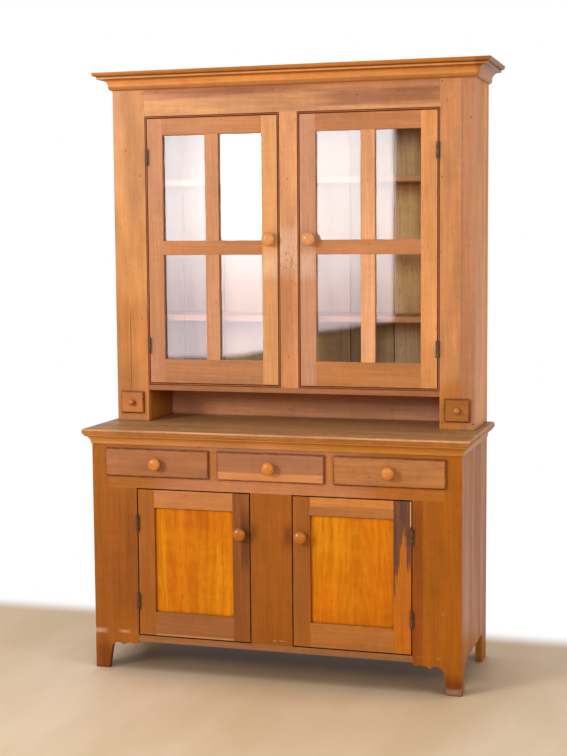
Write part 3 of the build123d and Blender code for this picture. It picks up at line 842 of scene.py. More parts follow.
@dataclass(frozen=True)
class Iron:
    """Old iron, browned and a little worn.

    Attributes:
        tone: The brown of the rust, as hex digits.
        bare: The colour of the rubbed metal.
    """

    tone: str = "4a382e"
    bare: str = "7d6a5c"

    PATCHES: ClassVar[Cloud] = Cloud(160.0, 5.0, 0.65)
    PITS: ClassVar[Cloud] = Cloud(900.0, 3.0, 0.7)

    def material(self, name: str) -> bpy.types.Material:
        """Make the finish.

        Args:
            name: The material's name.

        Returns:
            The material.
        """
        wiring = Wiring(name)
        here = wiring.here()
        patches = wiring.noise(here, self.PATCHES)
        colour = wiring.mix(wiring.span(patches, 0.45, 0.75), paint(self.tone),
                            paint(self.bare))
        return wiring.finish(wiring.surface(
            colour, Roughness=wiring.span(patches, 0.3, 0.7, 0.7, 0.42), Metallic=0.55,
            Normal=wiring.bump(wiring.noise(here, self.PITS), 0.3, 0.3 * MM)))


@dataclass(frozen=True)
class OldGlass:
    """Clear drawn window glass, slightly wavy.

    Attributes:
        tint: The colour of what is seen through it, as hex digits.
        ripple: How strongly its waves bend reflections.
    """

    tint: str = "f8f6f1"
    ripple: float = 0.006

    WAVES: ClassVar[Cloud] = Cloud(9.0, 2.0)

    def material(self, name: str) -> bpy.types.Material:
        """Make the finish.

        Args:
            name: The material's name.

        Returns:
            The material.
        """
        wiring = Wiring(name)
        waves = wiring.noise(wiring.squeezed(wiring.here(), (1.0, 1.0, 0.45)), self.WAVES)
        wavy = wiring.bump(waves, self.ripple, 10 * MM)
        clear = wiring.add("ShaderNodeBsdfTransparent", {"Color": paint(self.tint)})
        sheen = wiring.add("ShaderNodeBsdfGlossy", {"Roughness": 0.02, "Normal": wavy})
        mirrored = wiring.add("ShaderNodeFresnel", {"IOR": 1.5, "Normal": wavy})
        return wiring.finish(wiring.over(mirrored.outputs[0], clear, sheen))


@dataclass(frozen=True)
class Putty:
    """Old glazier's putty, painted and cracked.

    Attributes:
        tone: Its colour, as hex digits.
        shade: Its colour in the cracks.
    """

    tone: str = "8a7a62"
    shade: str = "5c4a36"

    LUMPS: ClassVar[Cloud] = Cloud(120.0, 4.0)

    def material(self, name: str) -> bpy.types.Material:
        """Make the finish.

        Args:
            name: The material's name.

        Returns:
            The material.
        """
        wiring = Wiring(name)
        lumps = wiring.noise(wiring.here(), self.LUMPS)
        colour = wiring.mix(wiring.span(lumps, 0.35, 0.7), paint(self.tone),
                            paint(self.shade))
        return wiring.finish(wiring.surface(colour, Roughness=0.8,
                                            Normal=wiring.bump(lumps, 0.5, 1 * MM)))


class Dresser:
    """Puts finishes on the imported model's own nodes."""

    def __init__(self, nodes: dict[str, bpy.types.Object]) -> None:
        """Keep the nodes.

        Args:
            nodes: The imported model's objects, by name.
        """
        self.nodes = nodes

    def wear(self, node: str, finish: Any) -> None:
        """Give a node a finish of its own.

        Args:
            node: The node's name.
            finish: What makes the material.
        """
        material = finish.material(f"{node}_finish")
        for holder in self.nodes[node].material_slots:
            holder.material = material
        log.info("dressed %s", node)


class Element(Enum):
    """What an edit-mode operator acts on, and a mesh's name for all of them."""

    FACE = "faces"
    EDGE = "edges"


class Workshop:
    """Makes new pieces by hand, with edit-mode operators."""

    def deselect(self) -> None:
        """Leave nothing selected, so that operators act on the new piece alone."""
        if bpy.context.object and bpy.context.object.mode == "EDIT":
            bpy.ops.object.mode_set(mode="OBJECT")
        bpy.ops.object.select_all(action="DESELECT")

    def start(self, name: str, primitive: Callable[..., Any], **sizes: Any) -> None:
        """Add a primitive and open it in edit mode.

        Args:
            name: The piece's name.
            primitive: The operator that adds it.
            sizes: Its size and place.
        """
        self.deselect()
        primitive(**sizes)
        piece = bpy.context.object
        piece.name = name
        piece.data.name = name
        bpy.ops.object.mode_set(mode="EDIT")

    def pick(self, kind: Element, test: Callable[[Any], bool]) -> None:
        """Select the faces or edges that pass a test, and no others.

        Args:
            kind: Whether faces or edges are chosen.
            test: What a chosen one passes.
        """
        bpy.ops.mesh.select_all(action="DESELECT")
        bpy.ops.mesh.select_mode(type=kind.name)
        mesh = bmesh.from_edit_mesh(bpy.context.object.data)
        for element in getattr(mesh, kind.value):
            element.select = bool(test(element))
        mesh.select_flush_mode()
        bmesh.update_edit_mesh(bpy.context.object.data)

    def extrude(self, x: float, y: float, z: float) -> None:
        """Draw what is selected out along a way."""
        bpy.ops.mesh.extrude_region_move(TRANSFORM_OT_translate={"value": (x, y, z)})

    def close(self) -> bpy.types.Object:
        """Turn all faces outwards, leave edit mode and settle the place in the mesh.

        Returns:
            The piece.
        """
        bpy.ops.mesh.select_all(action="SELECT")
        bpy.ops.mesh.normals_make_consistent(inside=False)
        bpy.ops.object.mode_set(mode="OBJECT")
        bpy.ops.object.transform_apply(location=True, rotation=True, scale=True)
        return bpy.context.object

    def done(self, body: str, material: bpy.types.Material) -> bpy.types.Object:
        """Close edit mode, and settle the piece on its body.

        Args:
            body: The body it rides on.
            material: Its finish.

        Returns:
            The piece.
        """
        bpy.ops.mesh.select_all(action="SELECT")
        bpy.ops.mesh.remove_doubles(threshold=0.01 * MM)
        piece = self.close()
        bpy.ops.object.shade_smooth_by_angle(angle=math.radians(35))
        piece.data.materials.clear()
        piece.data.materials.append(material)
        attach(piece, body)
        log.info("made %s", piece.name)
        return piece


WORKSHOP = Workshop()


@dataclass
class TurnedKnob:
    """A mushroom knob turned from pine, facing -Y.

    Attributes:
        name: The piece's name.
        body: The body it rides on.
        foot: The middle of its foot, on the wood's face.
        radius: Its rim radius.
        reach: How far it stands out.
        shank: Radius and length of the spindle behind it.
        tone: Its colour, as hex digits.
        facets: How many flats go round it.
    """

    name: str
    body: str
    foot: Vector
    radius: float
    reach: float
    shank: Span
    tone: str
    facets: int = 48

    # Each ring's place, as a share of the reach, and its size, as a share of the radius.
    PROFILE: ClassVar[tuple[Span, ...]] = (
        (0.0, 0.50), (0.04, 0.53), (0.09, 0.50), (0.14, 0.455), (0.24, 0.43), (0.34, 0.50),
        (0.42, 0.70), (0.47, 0.86), (0.54, 0.955), (0.62, 1.0), (0.70, 0.985), (0.76, 0.93),
        (0.785, 0.905), (0.80, 0.90), (0.86, 0.80), (0.92, 0.62), (0.96, 0.43), (0.99, 0.2))

    def build(self) -> bpy.types.Object:
        """Turn the knob, ring by ring from its tail to its crown.

        Returns:
            The piece.
        """
        radius, length = self.shank
        WORKSHOP.start(self.name, bpy.ops.mesh.primitive_circle_add, vertices=self.facets,
                       radius=radius, fill_type="NGON", rotation=TO_FRONT,
                       location=self.foot + Vector((0, length, 0)))
        depth = -length
        rings = [(0.0, radius)]
        rings += [(share * self.reach, width * self.radius) for share, width in self.PROFILE]
        for level, width in rings:
            WORKSHOP.extrude(0, depth - level, 0)
            size = width / radius
            bpy.ops.transform.resize(value=(size, 1, size),
                                     center_override=self.foot - Vector((0, level, 0)))
            depth, radius = level, width
        WORKSHOP.extrude(0, depth - self.reach, 0)
        bpy.ops.mesh.merge(type="CENTER")
        finish = Pine(self.tone, Grain.DEEP, contrast=0.45, pitch=8 * MM,
                      seed=self.foot.x * 3 + self.foot.z, rough=0.3, gloss=0.35,
                      wear=0.05, soil_and_shade=0.95)
        return WORKSHOP.done(self.body, finish.material(f"{self.name}_finish"))


@dataclass
class TurnButton:
    """The finger of wood behind a door that holds it shut.

    Attributes:
        name: The piece's name.
        body: The body it rides on.
        axis: Where the spindle passes through its front.
        width: Its width.
        thickness: Its thickness.
        length: How far it reaches below the spindle.
        chamfer: The width of the chamfer round both faces.
    """

    name: str
    body: str
    axis: Vector
    width: float = 18 * MM
    thickness: float = 12 * MM
    length: float = 46 * MM
    chamfer: float = 1.2 * MM

    def build(self) -> bpy.types.Object:
        """Saw the finger, round its head and chamfer it.

        Returns:
            The piece.
        """
        top = self.width / 2
        middle = self.axis + Vector((0, self.thickness / 2, (top - self.length) / 2))
        WORKSHOP.start(self.name, bpy.ops.mesh.primitive_cube_add, size=1, location=middle,
                       scale=(self.width, self.thickness, self.length + top))
        high = self.axis.z + top * 0.9

        def is_head_corner(edge: Any) -> bool:
            """Whether an edge is one of the two deep ones at the head."""
            first, last = (bpy.context.object.matrix_world @ v.co for v in edge.verts)
            return min(first.z, last.z) > high and abs(first.x - last.x) < 1e-6

        WORKSHOP.pick(Element.EDGE, is_head_corner)
        bpy.ops.mesh.bevel(offset=top * 0.98, segments=8, affect="EDGES")
        WORKSHOP.pick(Element.FACE, lambda face: abs(face.normal.y) > 0.9)
        bpy.ops.mesh.bevel(offset=self.chamfer, segments=2, affect="EDGES")
        finish = Pine("a9764a", contrast=0.4, pitch=6 * MM, seed=self.axis.x, rough=0.6)
        return WORKSHOP.done(self.body, finish.material(f"{self.name}_finish"))


@dataclass
class PuttyBead:
    """The sloped putty that holds one pane in its rebate, seen from inside.

    Attributes:
        rebate: Lowest and highest corner of the pane's rebate.
        depth: How far the rebate runs behind the glass.
        width: How far the putty reaches over the glass.
        ledge: The flat strip along the rebate's edge.
        gap: The room between putty and glass.
    """

    rebate: Box
    depth: float = 6.2 * MM
    width: float = 6.5 * MM
    ledge: float = 0.8 * MM
    gap: float = 0.05 * MM

    def on_rim(self, edge: Any) -> bool:
        """Whether an edge lies on the outer rim.

        Args:
            edge: The edge.

        Returns:
            Whether both its ends lie on one side of the rebate.
        """
        return any(all(abs(vertex.co[axis] - corner[axis]) < 0.01 * MM
                       for vertex in edge.verts)
                   for axis in (0, 2) for corner in self.rebate)

    def build(self, name: str, body: str, material: bpy.types.Material) -> None:
        """Run the bead round the pane, close its section and settle it on its door.

        Args:
            name: The piece's name.
            body: The body it rides on.
            material: Its finish.
        """
        low, high = self.rebate
        middle = (low + high) / 2
        middle.y = high.y + self.gap + self.depth
        WORKSHOP.start(name, bpy.ops.mesh.primitive_plane_add, size=1, location=middle,
                       rotation=TO_FRONT)
        bpy.ops.transform.resize(value=(high.x - low.x, 1, high.z - low.z),
                                 center_override=middle)
        bpy.ops.object.mode_set(mode="OBJECT")
        bpy.ops.object.transform_apply(location=True, rotation=True, scale=True)
        bpy.ops.object.mode_set(mode="EDIT")
        bpy.ops.mesh.select_all(action="SELECT")
        bpy.ops.mesh.inset(thickness=self.ledge)
        bpy.ops.mesh.inset(thickness=self.width - self.ledge)
        bpy.ops.transform.translate(value=(0, -self.depth, 0))
        bpy.ops.mesh.delete(type="FACE")
        WORKSHOP.pick(Element.EDGE, self.on_rim)
        WORKSHOP.extrude(0, -self.depth, 0)
        WORKSHOP.pick(Element.EDGE, lambda edge: edge.is_boundary)
        bpy.ops.mesh.bridge_edge_loops()
        bead = WORKSHOP.close()
        bead.data.materials.append(material)
        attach(bead, body)
        log.info("made %s", name)


@dataclass
class SmallHead:
    """The head of a nail or of a slotted screw.

    Attributes:
        radius: Its radius.
        proud: How far it stands out of the surface.
        slot: Half the width of its slot, or 0 for a nail.
        sunk: How far it reaches into the surface.
        facets: How many flats go round it.
    """

    radius: float
    proud: float = 0.15 * MM
    slot: float = 0.0
    sunk: float = 0.4 * MM
    facets: int = 14

    def build(self, name: str) -> bpy.types.Object:
        """Make one head on the surface Z = 0, facing +Z.

        Args:
            name: The piece's name.

        Returns:
            The head, in object mode.
        """
        WORKSHOP.start(name, bpy.ops.mesh.primitive_circle_add, vertices=self.facets,
                       radius=self.radius, fill_type="NGON", location=(0, 0, -self.sunk))
        WORKSHOP.extrude(0, 0, self.sunk + self.proud)
        bpy.ops.mesh.inset(thickness=self.radius * 0.14)
        bpy.ops.transform.translate(value=(0, 0, self.proud * 0.4))
        if self.slot:
            for side in SIDES.values():
                bpy.ops.mesh.select_all(action="SELECT")
                bpy.ops.mesh.bisect(plane_co=(side * self.slot, 0, 0), plane_no=(1, 0, 0))
            WORKSHOP.pick(Element.FACE, lambda face: face.normal.z > 0.9 and
                          abs(face.calc_center_median().x) < self.slot)
            bpy.ops.transform.translate(value=(0, 0, -self.proud * 1.2))
        return WORKSHOP.close()

    def spread(self, name: str, places: Sequence[Matrix], body: str,
               finish: Iron) -> bpy.types.Object:
        """Copy the head to each place, and join the copies of one body.

        Args:
            name: The piece's name.
            places: Where each head stands and which way it faces.
            body: The body they ride on.
            finish: Their finish.

        Returns:
            The joined piece.
        """
        first = self.build(name)
        copies = []
        for place in places[1:]:
            copy = first.copy()
            copy.data = first.data.copy()
            bpy.context.scene.collection.objects.link(copy)
            copy.data.transform(place)
            copies.append(copy)
        first.data.transform(places[0])
        WORKSHOP.deselect()
        for piece in (first, *copies):
            piece.select_set(True)
        bpy.context.view_layer.objects.active = first
        bpy.ops.object.join()
        bpy.ops.object.mode_set(mode="EDIT")
        return WORKSHOP.done(body, finish.material(f"{name}_finish"))


@dataclass
class HingeScrews:
    """The slotted screws in the leaves of one kind of door's hinges.

    Attributes:
        kind: "glass" or "panel".
        face: The plane of the doors' faces.
        leaf: The height of a hinge leaf.
        off_pin: How far a leaf's face lies from the middle of its pin.
    """

    kind: str
    face: float
    leaf: float = 57 * MM
    off_pin: float = 0.25 * MM

    HEAD: ClassVar[SmallHead] = SmallHead(3.2 * MM, slot=0.45 * MM)
    # Each screw's height over the leaf's middle, and its depth behind the door's face.
    SPOTS: ClassVar[tuple[Span, ...]] = ((-20 * MM, 13 * MM), (0.0, 8 * MM),
                                         (20 * MM, 13 * MM))

    def places(self, side: str, on_case: bool) -> list[Matrix]:
        """Where the screws of one door stand.

        Args:
            side: "left" or "right".
            on_case: Whether they are in the case's leaves, not in the door's.

        Returns:
            A place for each screw head.
        """
        door = f"{self.kind}_door_{side}"
        joint = next(j for j in frame["joints"] if j["name"] == f"{door}_hinge")
        low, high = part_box(f"{door}_hinge_leaves")
        outwards = SIDES[side] if on_case else -SIDES[side]
        x = joint["pos_m"][0] + outwards * self.off_pin
        turn = Matrix.Rotation(-outwards * math.pi / 2, 4, "Y")
        return [Matrix.Translation((x, self.face + back, middle + rise)) @ turn
                for middle in (low.z + self.leaf / 2, high.z - self.leaf / 2)
                for rise, back in self.SPOTS]

    def drive(self, side: str) -> None:
        """Drive the screws into the leaves on one door."""
        door = f"{self.kind}_door_{side}"
        self.HEAD.spread(f"{door}_hinge_screws", self.places(side, False), door, Iron())


@dataclass
class Carcass:
    """The case, with everything that stands still.

    Attributes:
        half: Half the width of both cases.
        base_front: The plane of the base's face.
        hutch_front: The plane of the glazed case's face.
        board: Width of one back board.
    """

    half: float
    base_front: float
    hutch_front: float
    board: float

    SCUFF: ClassVar[str] = "dcb48e"
    # Where the cut nails show on the glazed case, across and up.
    NAILS: ClassVar[tuple[Span, ...]] = (
        (-0.5625, 1.7643), (-0.0045, 1.7428), (0.5486, 1.739), (0.6473, 1.9384),
        (0.5526, 0.8922), (0.6591, 0.8901), (-0.6480, 0.8905), (-0.5540, 0.8910),
        (-0.5480, 2.0600), (0.5490, 2.0620))

    @classmethod
    def measured(cls) -> "Carcass":
        """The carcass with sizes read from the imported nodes.

        Returns:
            The carcass.
        """
        low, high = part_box("base_stile_right")
        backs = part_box("hutch_back_boards")
        return cls(half=high.x, base_front=low.y,
                   hutch_front=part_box("hutch_stile_right")[0].y,
                   board=(backs[1].x - backs[0].x) / BACK_BOARDS)

    @property
    def inside(self) -> Pine:
        """The unpolished boards inside the cases."""
        return Pine("c09a70", Grain.ACROSS, rough=0.6, soil_and_shade=0.6)

    @property
    def backs(self) -> Pine:
        """The rough boards at the back."""
        return Pine("e4c59d", contrast=0.6, rough=0.65, soil_and_shade=0.8, board=self.board)

    @property
    def side(self) -> Pine:
        """The boards at the sides."""
        return Pine("c08a60", contrast=0.4, pitch=20 * MM, side_view=True, gloss=0.1,
                    blotch=0.16)

    def base_finishes(self) -> dict[str, Any]:
        """The finishes of the base's fixed nodes.

        Returns:
            Each finish, by its node.
        """
        scuff = self.SCUFF
        return {
            "base_stile_left": Pine("95540e", seed=0.3, marks=(
                patch((-0.675, -0.626), (0.128, 0.143), scuff, 0.5, 1.5, 0.25),
                patch((-0.571, -0.537), (0.133, 0.142), scuff, 0.4, 1.6, 0.25),
                Mark((-0.7, -0.5), (-0.05, 0.085), "c08a6c", 0.6, 0.9, 0.2),
                Mark((-0.62, -0.50), (0.2, 0.62), "d9a98b", 0.3, 1.2, 0.15))),
            "base_stile_right": Pine("9f5703", seed=1.1, contrast=0.45, marks=(
                Mark((0.497, 0.532), (0.1, 0.665), "c8a088", 0.6, 0.5, 0.2),
                patch((0.5228, 0.5809), (0.1225, 0.1262), scuff, 0.9, 0.8, 0.5, 0.6),
                patch((0.592, 0.603), (0.272, 0.280), scuff, 0.6, 1.0, 0.5, 0.6),
                Mark((0.5, 0.7), (-0.05, 0.06), "a87c64", 0.7, 0.9, 0.2),
                patch((0.60, 0.665), (0.0, 0.022), "b89a80", 0.4, 1.2, 0.4))),
            "base_side_left": replace(self.side, seed=2.0),
            "base_side_right": replace(self.side, seed=2.4, tone="af6822"),
            "base_inner_stiles": Pine("9c550c", seed=3.1, contrast=0.45, marks=(
                tone_of((-0.6, 0.6), (0.70, 0.80), "b67034"),
                Mark((0.044, 0.074), (0.485, 0.553), "8a6040", 0.55, 1.9, 0.5),
                Mark((-0.076, -0.050), (0.502, 0.548), "8a6040", 0.5, 1.9, 0.5),
                patch((0.0075, 0.0511), (0.1426, 0.1456), scuff, 0.6, 1.0, 0.5, 0.4))),
            "base_rails": Pine("b27247", Grain.ACROSS, seed=3.7, contrast=0.45, marks=(
                patch((0.33, 0.75), (0.5, 0.95), "a75f18", 1.0, 0.9),
                patch((-0.75, -0.42), (0.5, 0.95), "a15d1c", 0.9, 0.8),
                tone_of((-0.7, 0.7), (0.0, 0.13), "956034"))),
            "base_boards": replace(self.inside, seed=4.1),
            "base_back_boards": self.backs,
            "drawer_runners": replace(self.inside, grain=Grain.DEEP, seed=4.4),
            "worktop": Pine("bb742c", Grain.ACROSS, seed=4.9, contrast=0.85, pitch=30 * MM,
                            rough=0.5, blotch=0.22, wear=0.12, marks=(
                patch((-0.9, 0.9), (0.8661, 0.9), "a0784e", 0.85, 0.004),
                # A pale line along the front arris: wear, with a painted highlight.
                patch((-0.9, 0.9), (0.8620, 0.8668), "d4a274", 0.6, 0.9, 0.4),
                # The lower part of the front edge darker: painted shadow under its rounded nose.
                patch((-0.9, 0.9), (0.8515, 0.8615), "855029", 0.65, 1.0))),
            "cove_mouldings": Pine("bd7b3a", Grain.ACROSS, seed=5.2, contrast=0.35,
                                   corner=(self.half, self.base_front), marks=(
                patch((0.15, 0.9), (0.7, 0.9), "b8741f", 0.7, 0.5),)),
        }

    def hutch_finishes(self) -> dict[str, Any]:
        """The finishes of the glazed case's fixed nodes.

        Returns:
            Each finish, by its node.
        """
        return {
            "hutch_stile_left": Pine("c9894e", seed=6.0, contrast=0.38, blotch=0.18, marks=(
                # Darker in its lower part: painted shade.
                Mark((-0.7, -0.5), (0.86, 1.33), "ecdfca", 1.0, 0.8),
                Mark((-0.6105, -0.6085), (0.985, 1.277), "5a3a22", 0.8, 0.5))),
            "hutch_stile_right": Pine("c48455", seed=6.6, contrast=0.42, blotch=0.18, marks=(
                Mark((0.5, 0.7), (0.75, 1.03), "efdc98", 1.0, 0.5),
                patch((0.612, 0.69), (0.8, 2.2), "a97455", 0.6, 0.25, 0.1),
                Mark((0.6170, 0.6200), (0.98, 2.12), "7a5034", 0.35, 1.0))),
            "hutch_side_left": replace(self.side, seed=7.1, tone="c8946a"),
            "hutch_side_right": replace(self.side, seed=7.5, tone="d98b39"),
            "hutch_center_stile": Pine("d2915c", seed=8.0, contrast=0.4, blotch=0.16, marks=(
                # Darker in its lower part: painted shade.
                Mark((-0.1, 0.1), (0.9, 1.46), "f4e8da", 0.8, 0.6),
                # A pale rubbed place by the knobs: wear, with a painted sheen.
                patch((-0.05, 0.05), (1.42, 1.565), "ecc0a4", 0.5, 1.4, 0.3),
                Mark((-0.04, 0.045), (1.43, 1.50), "8c5a44", 0.55, 1.2, 0.4,
                     speckle=0.6))),
            "hutch_rails": Pine("c58c64", Grain.ACROSS, seed=8.8, blotch=0.2, marks=(
                Mark((-0.5, -0.08), (2.035, 2.066), "a5887c", 0.5, 1.2, 0.35),
                Mark((-0.7, 0.7), (2.05, 2.13), "cba088", 0.7, 1.0, 0.2),
                Mark((0.12, 0.56), (1.995, 2.048), "8c6a66", 0.6, 0.9, 0.3),
                tone_of((-0.7, 0.7), (0.9, 1.01), "a5693e"))),
            "hutch_boards": Pine("c88b63", Grain.ACROSS, seed=9.3, rough=0.6, soil_and_shade=0.85,
                                 marks=(tone_of((-0.7, 0.7), (1.2, 1.8), "e0a67c"),)),
            "hutch_back_boards": replace(self.backs, seed=0.7),
            "opening_beads": Pine("9a5530", seed=9.9, contrast=0.3, soil_and_shade=0.95),
            "cornice_mouldings": Pine("d48b45", Grain.ACROSS, seed=10.4, contrast=0.45,
                                      pitch=24 * MM, soil_and_shade=0.95,
                                      corner=(self.half, self.hutch_front), marks=(
                patch((-0.9, 0.9), (2.1205, 2.2), "b16718", 0.9, 0.01),
                # A dark line at the quirk under the top fascia: painted shadow.
                patch((-0.9, 0.9), (2.1165, 2.1215), "6e4018", 0.8, 0.6),
                # The top of the cove darker: painted shade under the fillet.
                patch((-0.9, 0.9), (2.106, 2.1115), "94582a", 0.7, 0.9),
                # The right return tinted greyer and pinker: a painted sheen.
                Mark((0.668, 0.9), (2.0, 2.2), "dccfc6", 0.9, 0.1),
                patch((-0.9, 0.9), (2.07, 2.0865), "a3652e", 0.8, 0.3))),
            "small_drawer_housings": Pine("a8661f", Grain.DEEP, seed=11.0, contrast=0.45,
                                          gloss=0.1),
            "case_hinge_leaves": Iron(),
        }

    def screws(self) -> None:
        """Drive the screws into the hinge leaves on the case."""
        places = []
        for kind, face in (("glass", self.hutch_front), ("panel", self.base_front)):
            for side in SIDES:
                places += HingeScrews(kind, face).places(side, True)
        HingeScrews.HEAD.spread("case_hinge_screws", places, "carcass", Iron())

    def nails(self) -> None:
        """Set the cut nails that show on the glazed case."""
        places = [Matrix.Translation((x, self.hutch_front, z)) @
                  Matrix.Rotation(TO_FRONT[0], 4, "X") for x, z in self.NAILS]
        SmallHead(2.4 * MM, proud=0.1 * MM).spread("case_nails", places, "carcass",
                                                   Iron("3a2a20", "5a4636"))

    def build(self, dresser: Dresser) -> None:
        """Dress the fixed nodes and add the small iron pieces.

        Args:
            dresser: What puts finishes on nodes.
        """
        for node, finish in (self.base_finishes() | self.hutch_finishes()).items():
            dresser.wear(node, finish)
        self.screws()
        self.nails()


@dataclass
class Latch:
    """A door's knob and the turn button on its spindle.

    Attributes:
        door: The door's name.
        reach: How far the knob stands out.
        tone: The knob's colour.
        spindle: Radius of the spindle through the door.
        behind: How far the spindle's end lies behind the button's front.
    """

    door: str
    reach: float
    tone: str
    spindle: float = 6 * MM
    behind: float = 15 * MM

    def build(self) -> None:
        """Turn the knob and saw the button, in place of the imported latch."""
        low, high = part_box(f"{self.door}_latch")
        radius = (high.x - low.x) / 2
        foot = Vector(((low.x + high.x) / 2, low.y + self.reach, high.z - radius))
        body = f"{self.door}_catch"
        knob = TurnedKnob(f"{self.door}_knob", body, foot, radius, self.reach,
                          (self.spindle, high.y - foot.y), self.tone).build()
        axis = Vector((foot.x, high.y - self.behind, foot.z))
        button = TurnButton(f"{self.door}_turn_button", body, axis).build()
        for piece in (knob, button):
            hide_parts(f"{self.door}_latch")


@dataclass
class GlassDoor:
    """One glazed door.

    Attributes:
        side: "left" or "right".
        hinge_tone: Colour of the stile with the hinges.
        lock_tone: Colour of the stile with the knob.
        rail_tone: Colour of the rails.
        low_tone: Colour of the bottom rail.
        muntin_tone: Colour of the muntins.
        lock: Ends of the stile with the knob, from the middle of the hutch.
        muntin: Width of the muntins.
        middle_rail: Height of the middle rail.
        overlap: How far a pane reaches into its rebate.
        clearance: The room round a pane in its rebate.
        knob_reach: How far its knob stands out.
        knob_tone: Its knob's colour.
    """

    side: str
    hinge_tone: str
    lock_tone: str
    rail_tone: str
    low_tone: str
    muntin_tone: str
    lock: Span = (40 * MM, 102 * MM)
    muntin: float = 50 * MM
    middle_rail: float = 52 * MM
    overlap: float = 6 * MM
    clearance: float = 2 * MM
    knob_reach: float = 36 * MM
    knob_tone: str = "d3904f"

    @property
    def name(self) -> str:
        """The door's body."""
        return f"glass_door_{self.side}"

    def rebates(self) -> list[Box]:
        """The rebates of the four panes.

        Returns:
            The lowest and highest corner of each.
        """
        low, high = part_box(f"{self.name}_panes")
        middle = (low + high) / 2
        room = Vector((self.clearance, 0, self.clearance))
        across = self.muntin / 2 - self.overlap
        up = self.middle_rail / 2 - self.overlap
        return [(Vector((left, low.y, bottom)) - room, Vector((right, high.y, top)) + room)
                for left, right in ((low.x, middle.x - across), (middle.x + across, high.x))
                for bottom, top in ((low.z, middle.z - up), (middle.z + up, high.z))]

    def woods(self) -> dict[str, Pine]:
        """The finishes of the door's wooden nodes.

        Returns:
            Each finish, by the end of its node's name.
        """
        sign = SIDES[self.side]
        seed = 2.0 + sign
        low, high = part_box(f"{self.name}_stiles")
        lock = tuple(sorted(sign * end for end in self.lock))
        return {
            "stiles": Pine(self.hinge_tone, seed=seed, contrast=0.42, soil_and_shade=0.3, marks=(
                tone_of(lock, (low.z - 0.1, high.z + 0.1), self.lock_tone),
                # A pale rubbed place by the knob: wear, with a painted sheen.
                patch(lock, (1.40, 1.478), "efcfb6", 0.32, 1.5, 0.45))),
            "rails": Pine(self.rail_tone, Grain.ACROSS, seed=seed + 0.4, contrast=0.42,
                          soil_and_shade=0.3, marks=(
                tone_of((low.x, high.x), (low.z - 0.05, low.z + 0.09), self.low_tone),)),
            "muntins": Pine(self.muntin_tone, seed=seed + 0.8, soil_and_shade=0.3),
        }

    def build(self, dresser: Dresser) -> None:
        """Dress the door's wood, glaze it and fit its ironwork.

        Args:
            dresser: What puts finishes on nodes.
        """
        for node, finish in self.woods().items():
            dresser.wear(f"{self.name}_{node}", finish)
        dresser.wear(f"{self.name}_panes", OldGlass())
        dresser.wear(f"{self.name}_hinge_leaves", Iron())
        HingeScrews("glass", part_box(f"{self.name}_stiles")[0].y).drive(self.side)
        putty = Putty().material(f"{self.name}_putty_finish")
        for number, rebate in enumerate(self.rebates(), 1):
            PuttyBead(rebate).build(f"{self.name}_putty_{number}", self.name, putty)
        Latch(self.name, self.knob_reach, self.knob_tone).build()


@dataclass
class PanelDoor:
    """One panelled door of the base.

    Attributes:
        side: "left" or "right".
        stiles: Finish of the stiles.
        rails: Finish of the rails.
        panel: Finish of the panel.
        knob_reach: How far its knob stands out.
        knob_tone: Its knob's colour.
    """

    side: str
    stiles: Pine
    rails: Pine
    panel: Pine
    knob_reach: float = 35 * MM
    knob_tone: str = "af6313"

    def build(self, dresser: Dresser) -> None:
        """Dress the door and fit its ironwork.

        Args:
            dresser: What puts finishes on nodes.
        """
        name = f"panel_door_{self.side}"
        dresser.wear(f"{name}_stiles", self.stiles)
        dresser.wear(f"{name}_rails", self.rails)
        dresser.wear(f"{name}_panel", self.panel)
        dresser.wear(f"{name}_hinge_leaves", Iron())
        HingeScrews("panel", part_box(f"{name}_stiles")[0].y).drive(self.side)
        Latch(name, self.knob_reach, self.knob_tone).build()


def glass_doors() -> list[GlassDoor]:
    """The two glazed doors, each with the colours of its own boards."""
    return [GlassDoor("left", "bd8056", "d0925a", "b87746", "b2754a", "be835b"),
            GlassDoor("right", "d79154", "c18865", "ba794b", "b6753f", "d89b6d")]


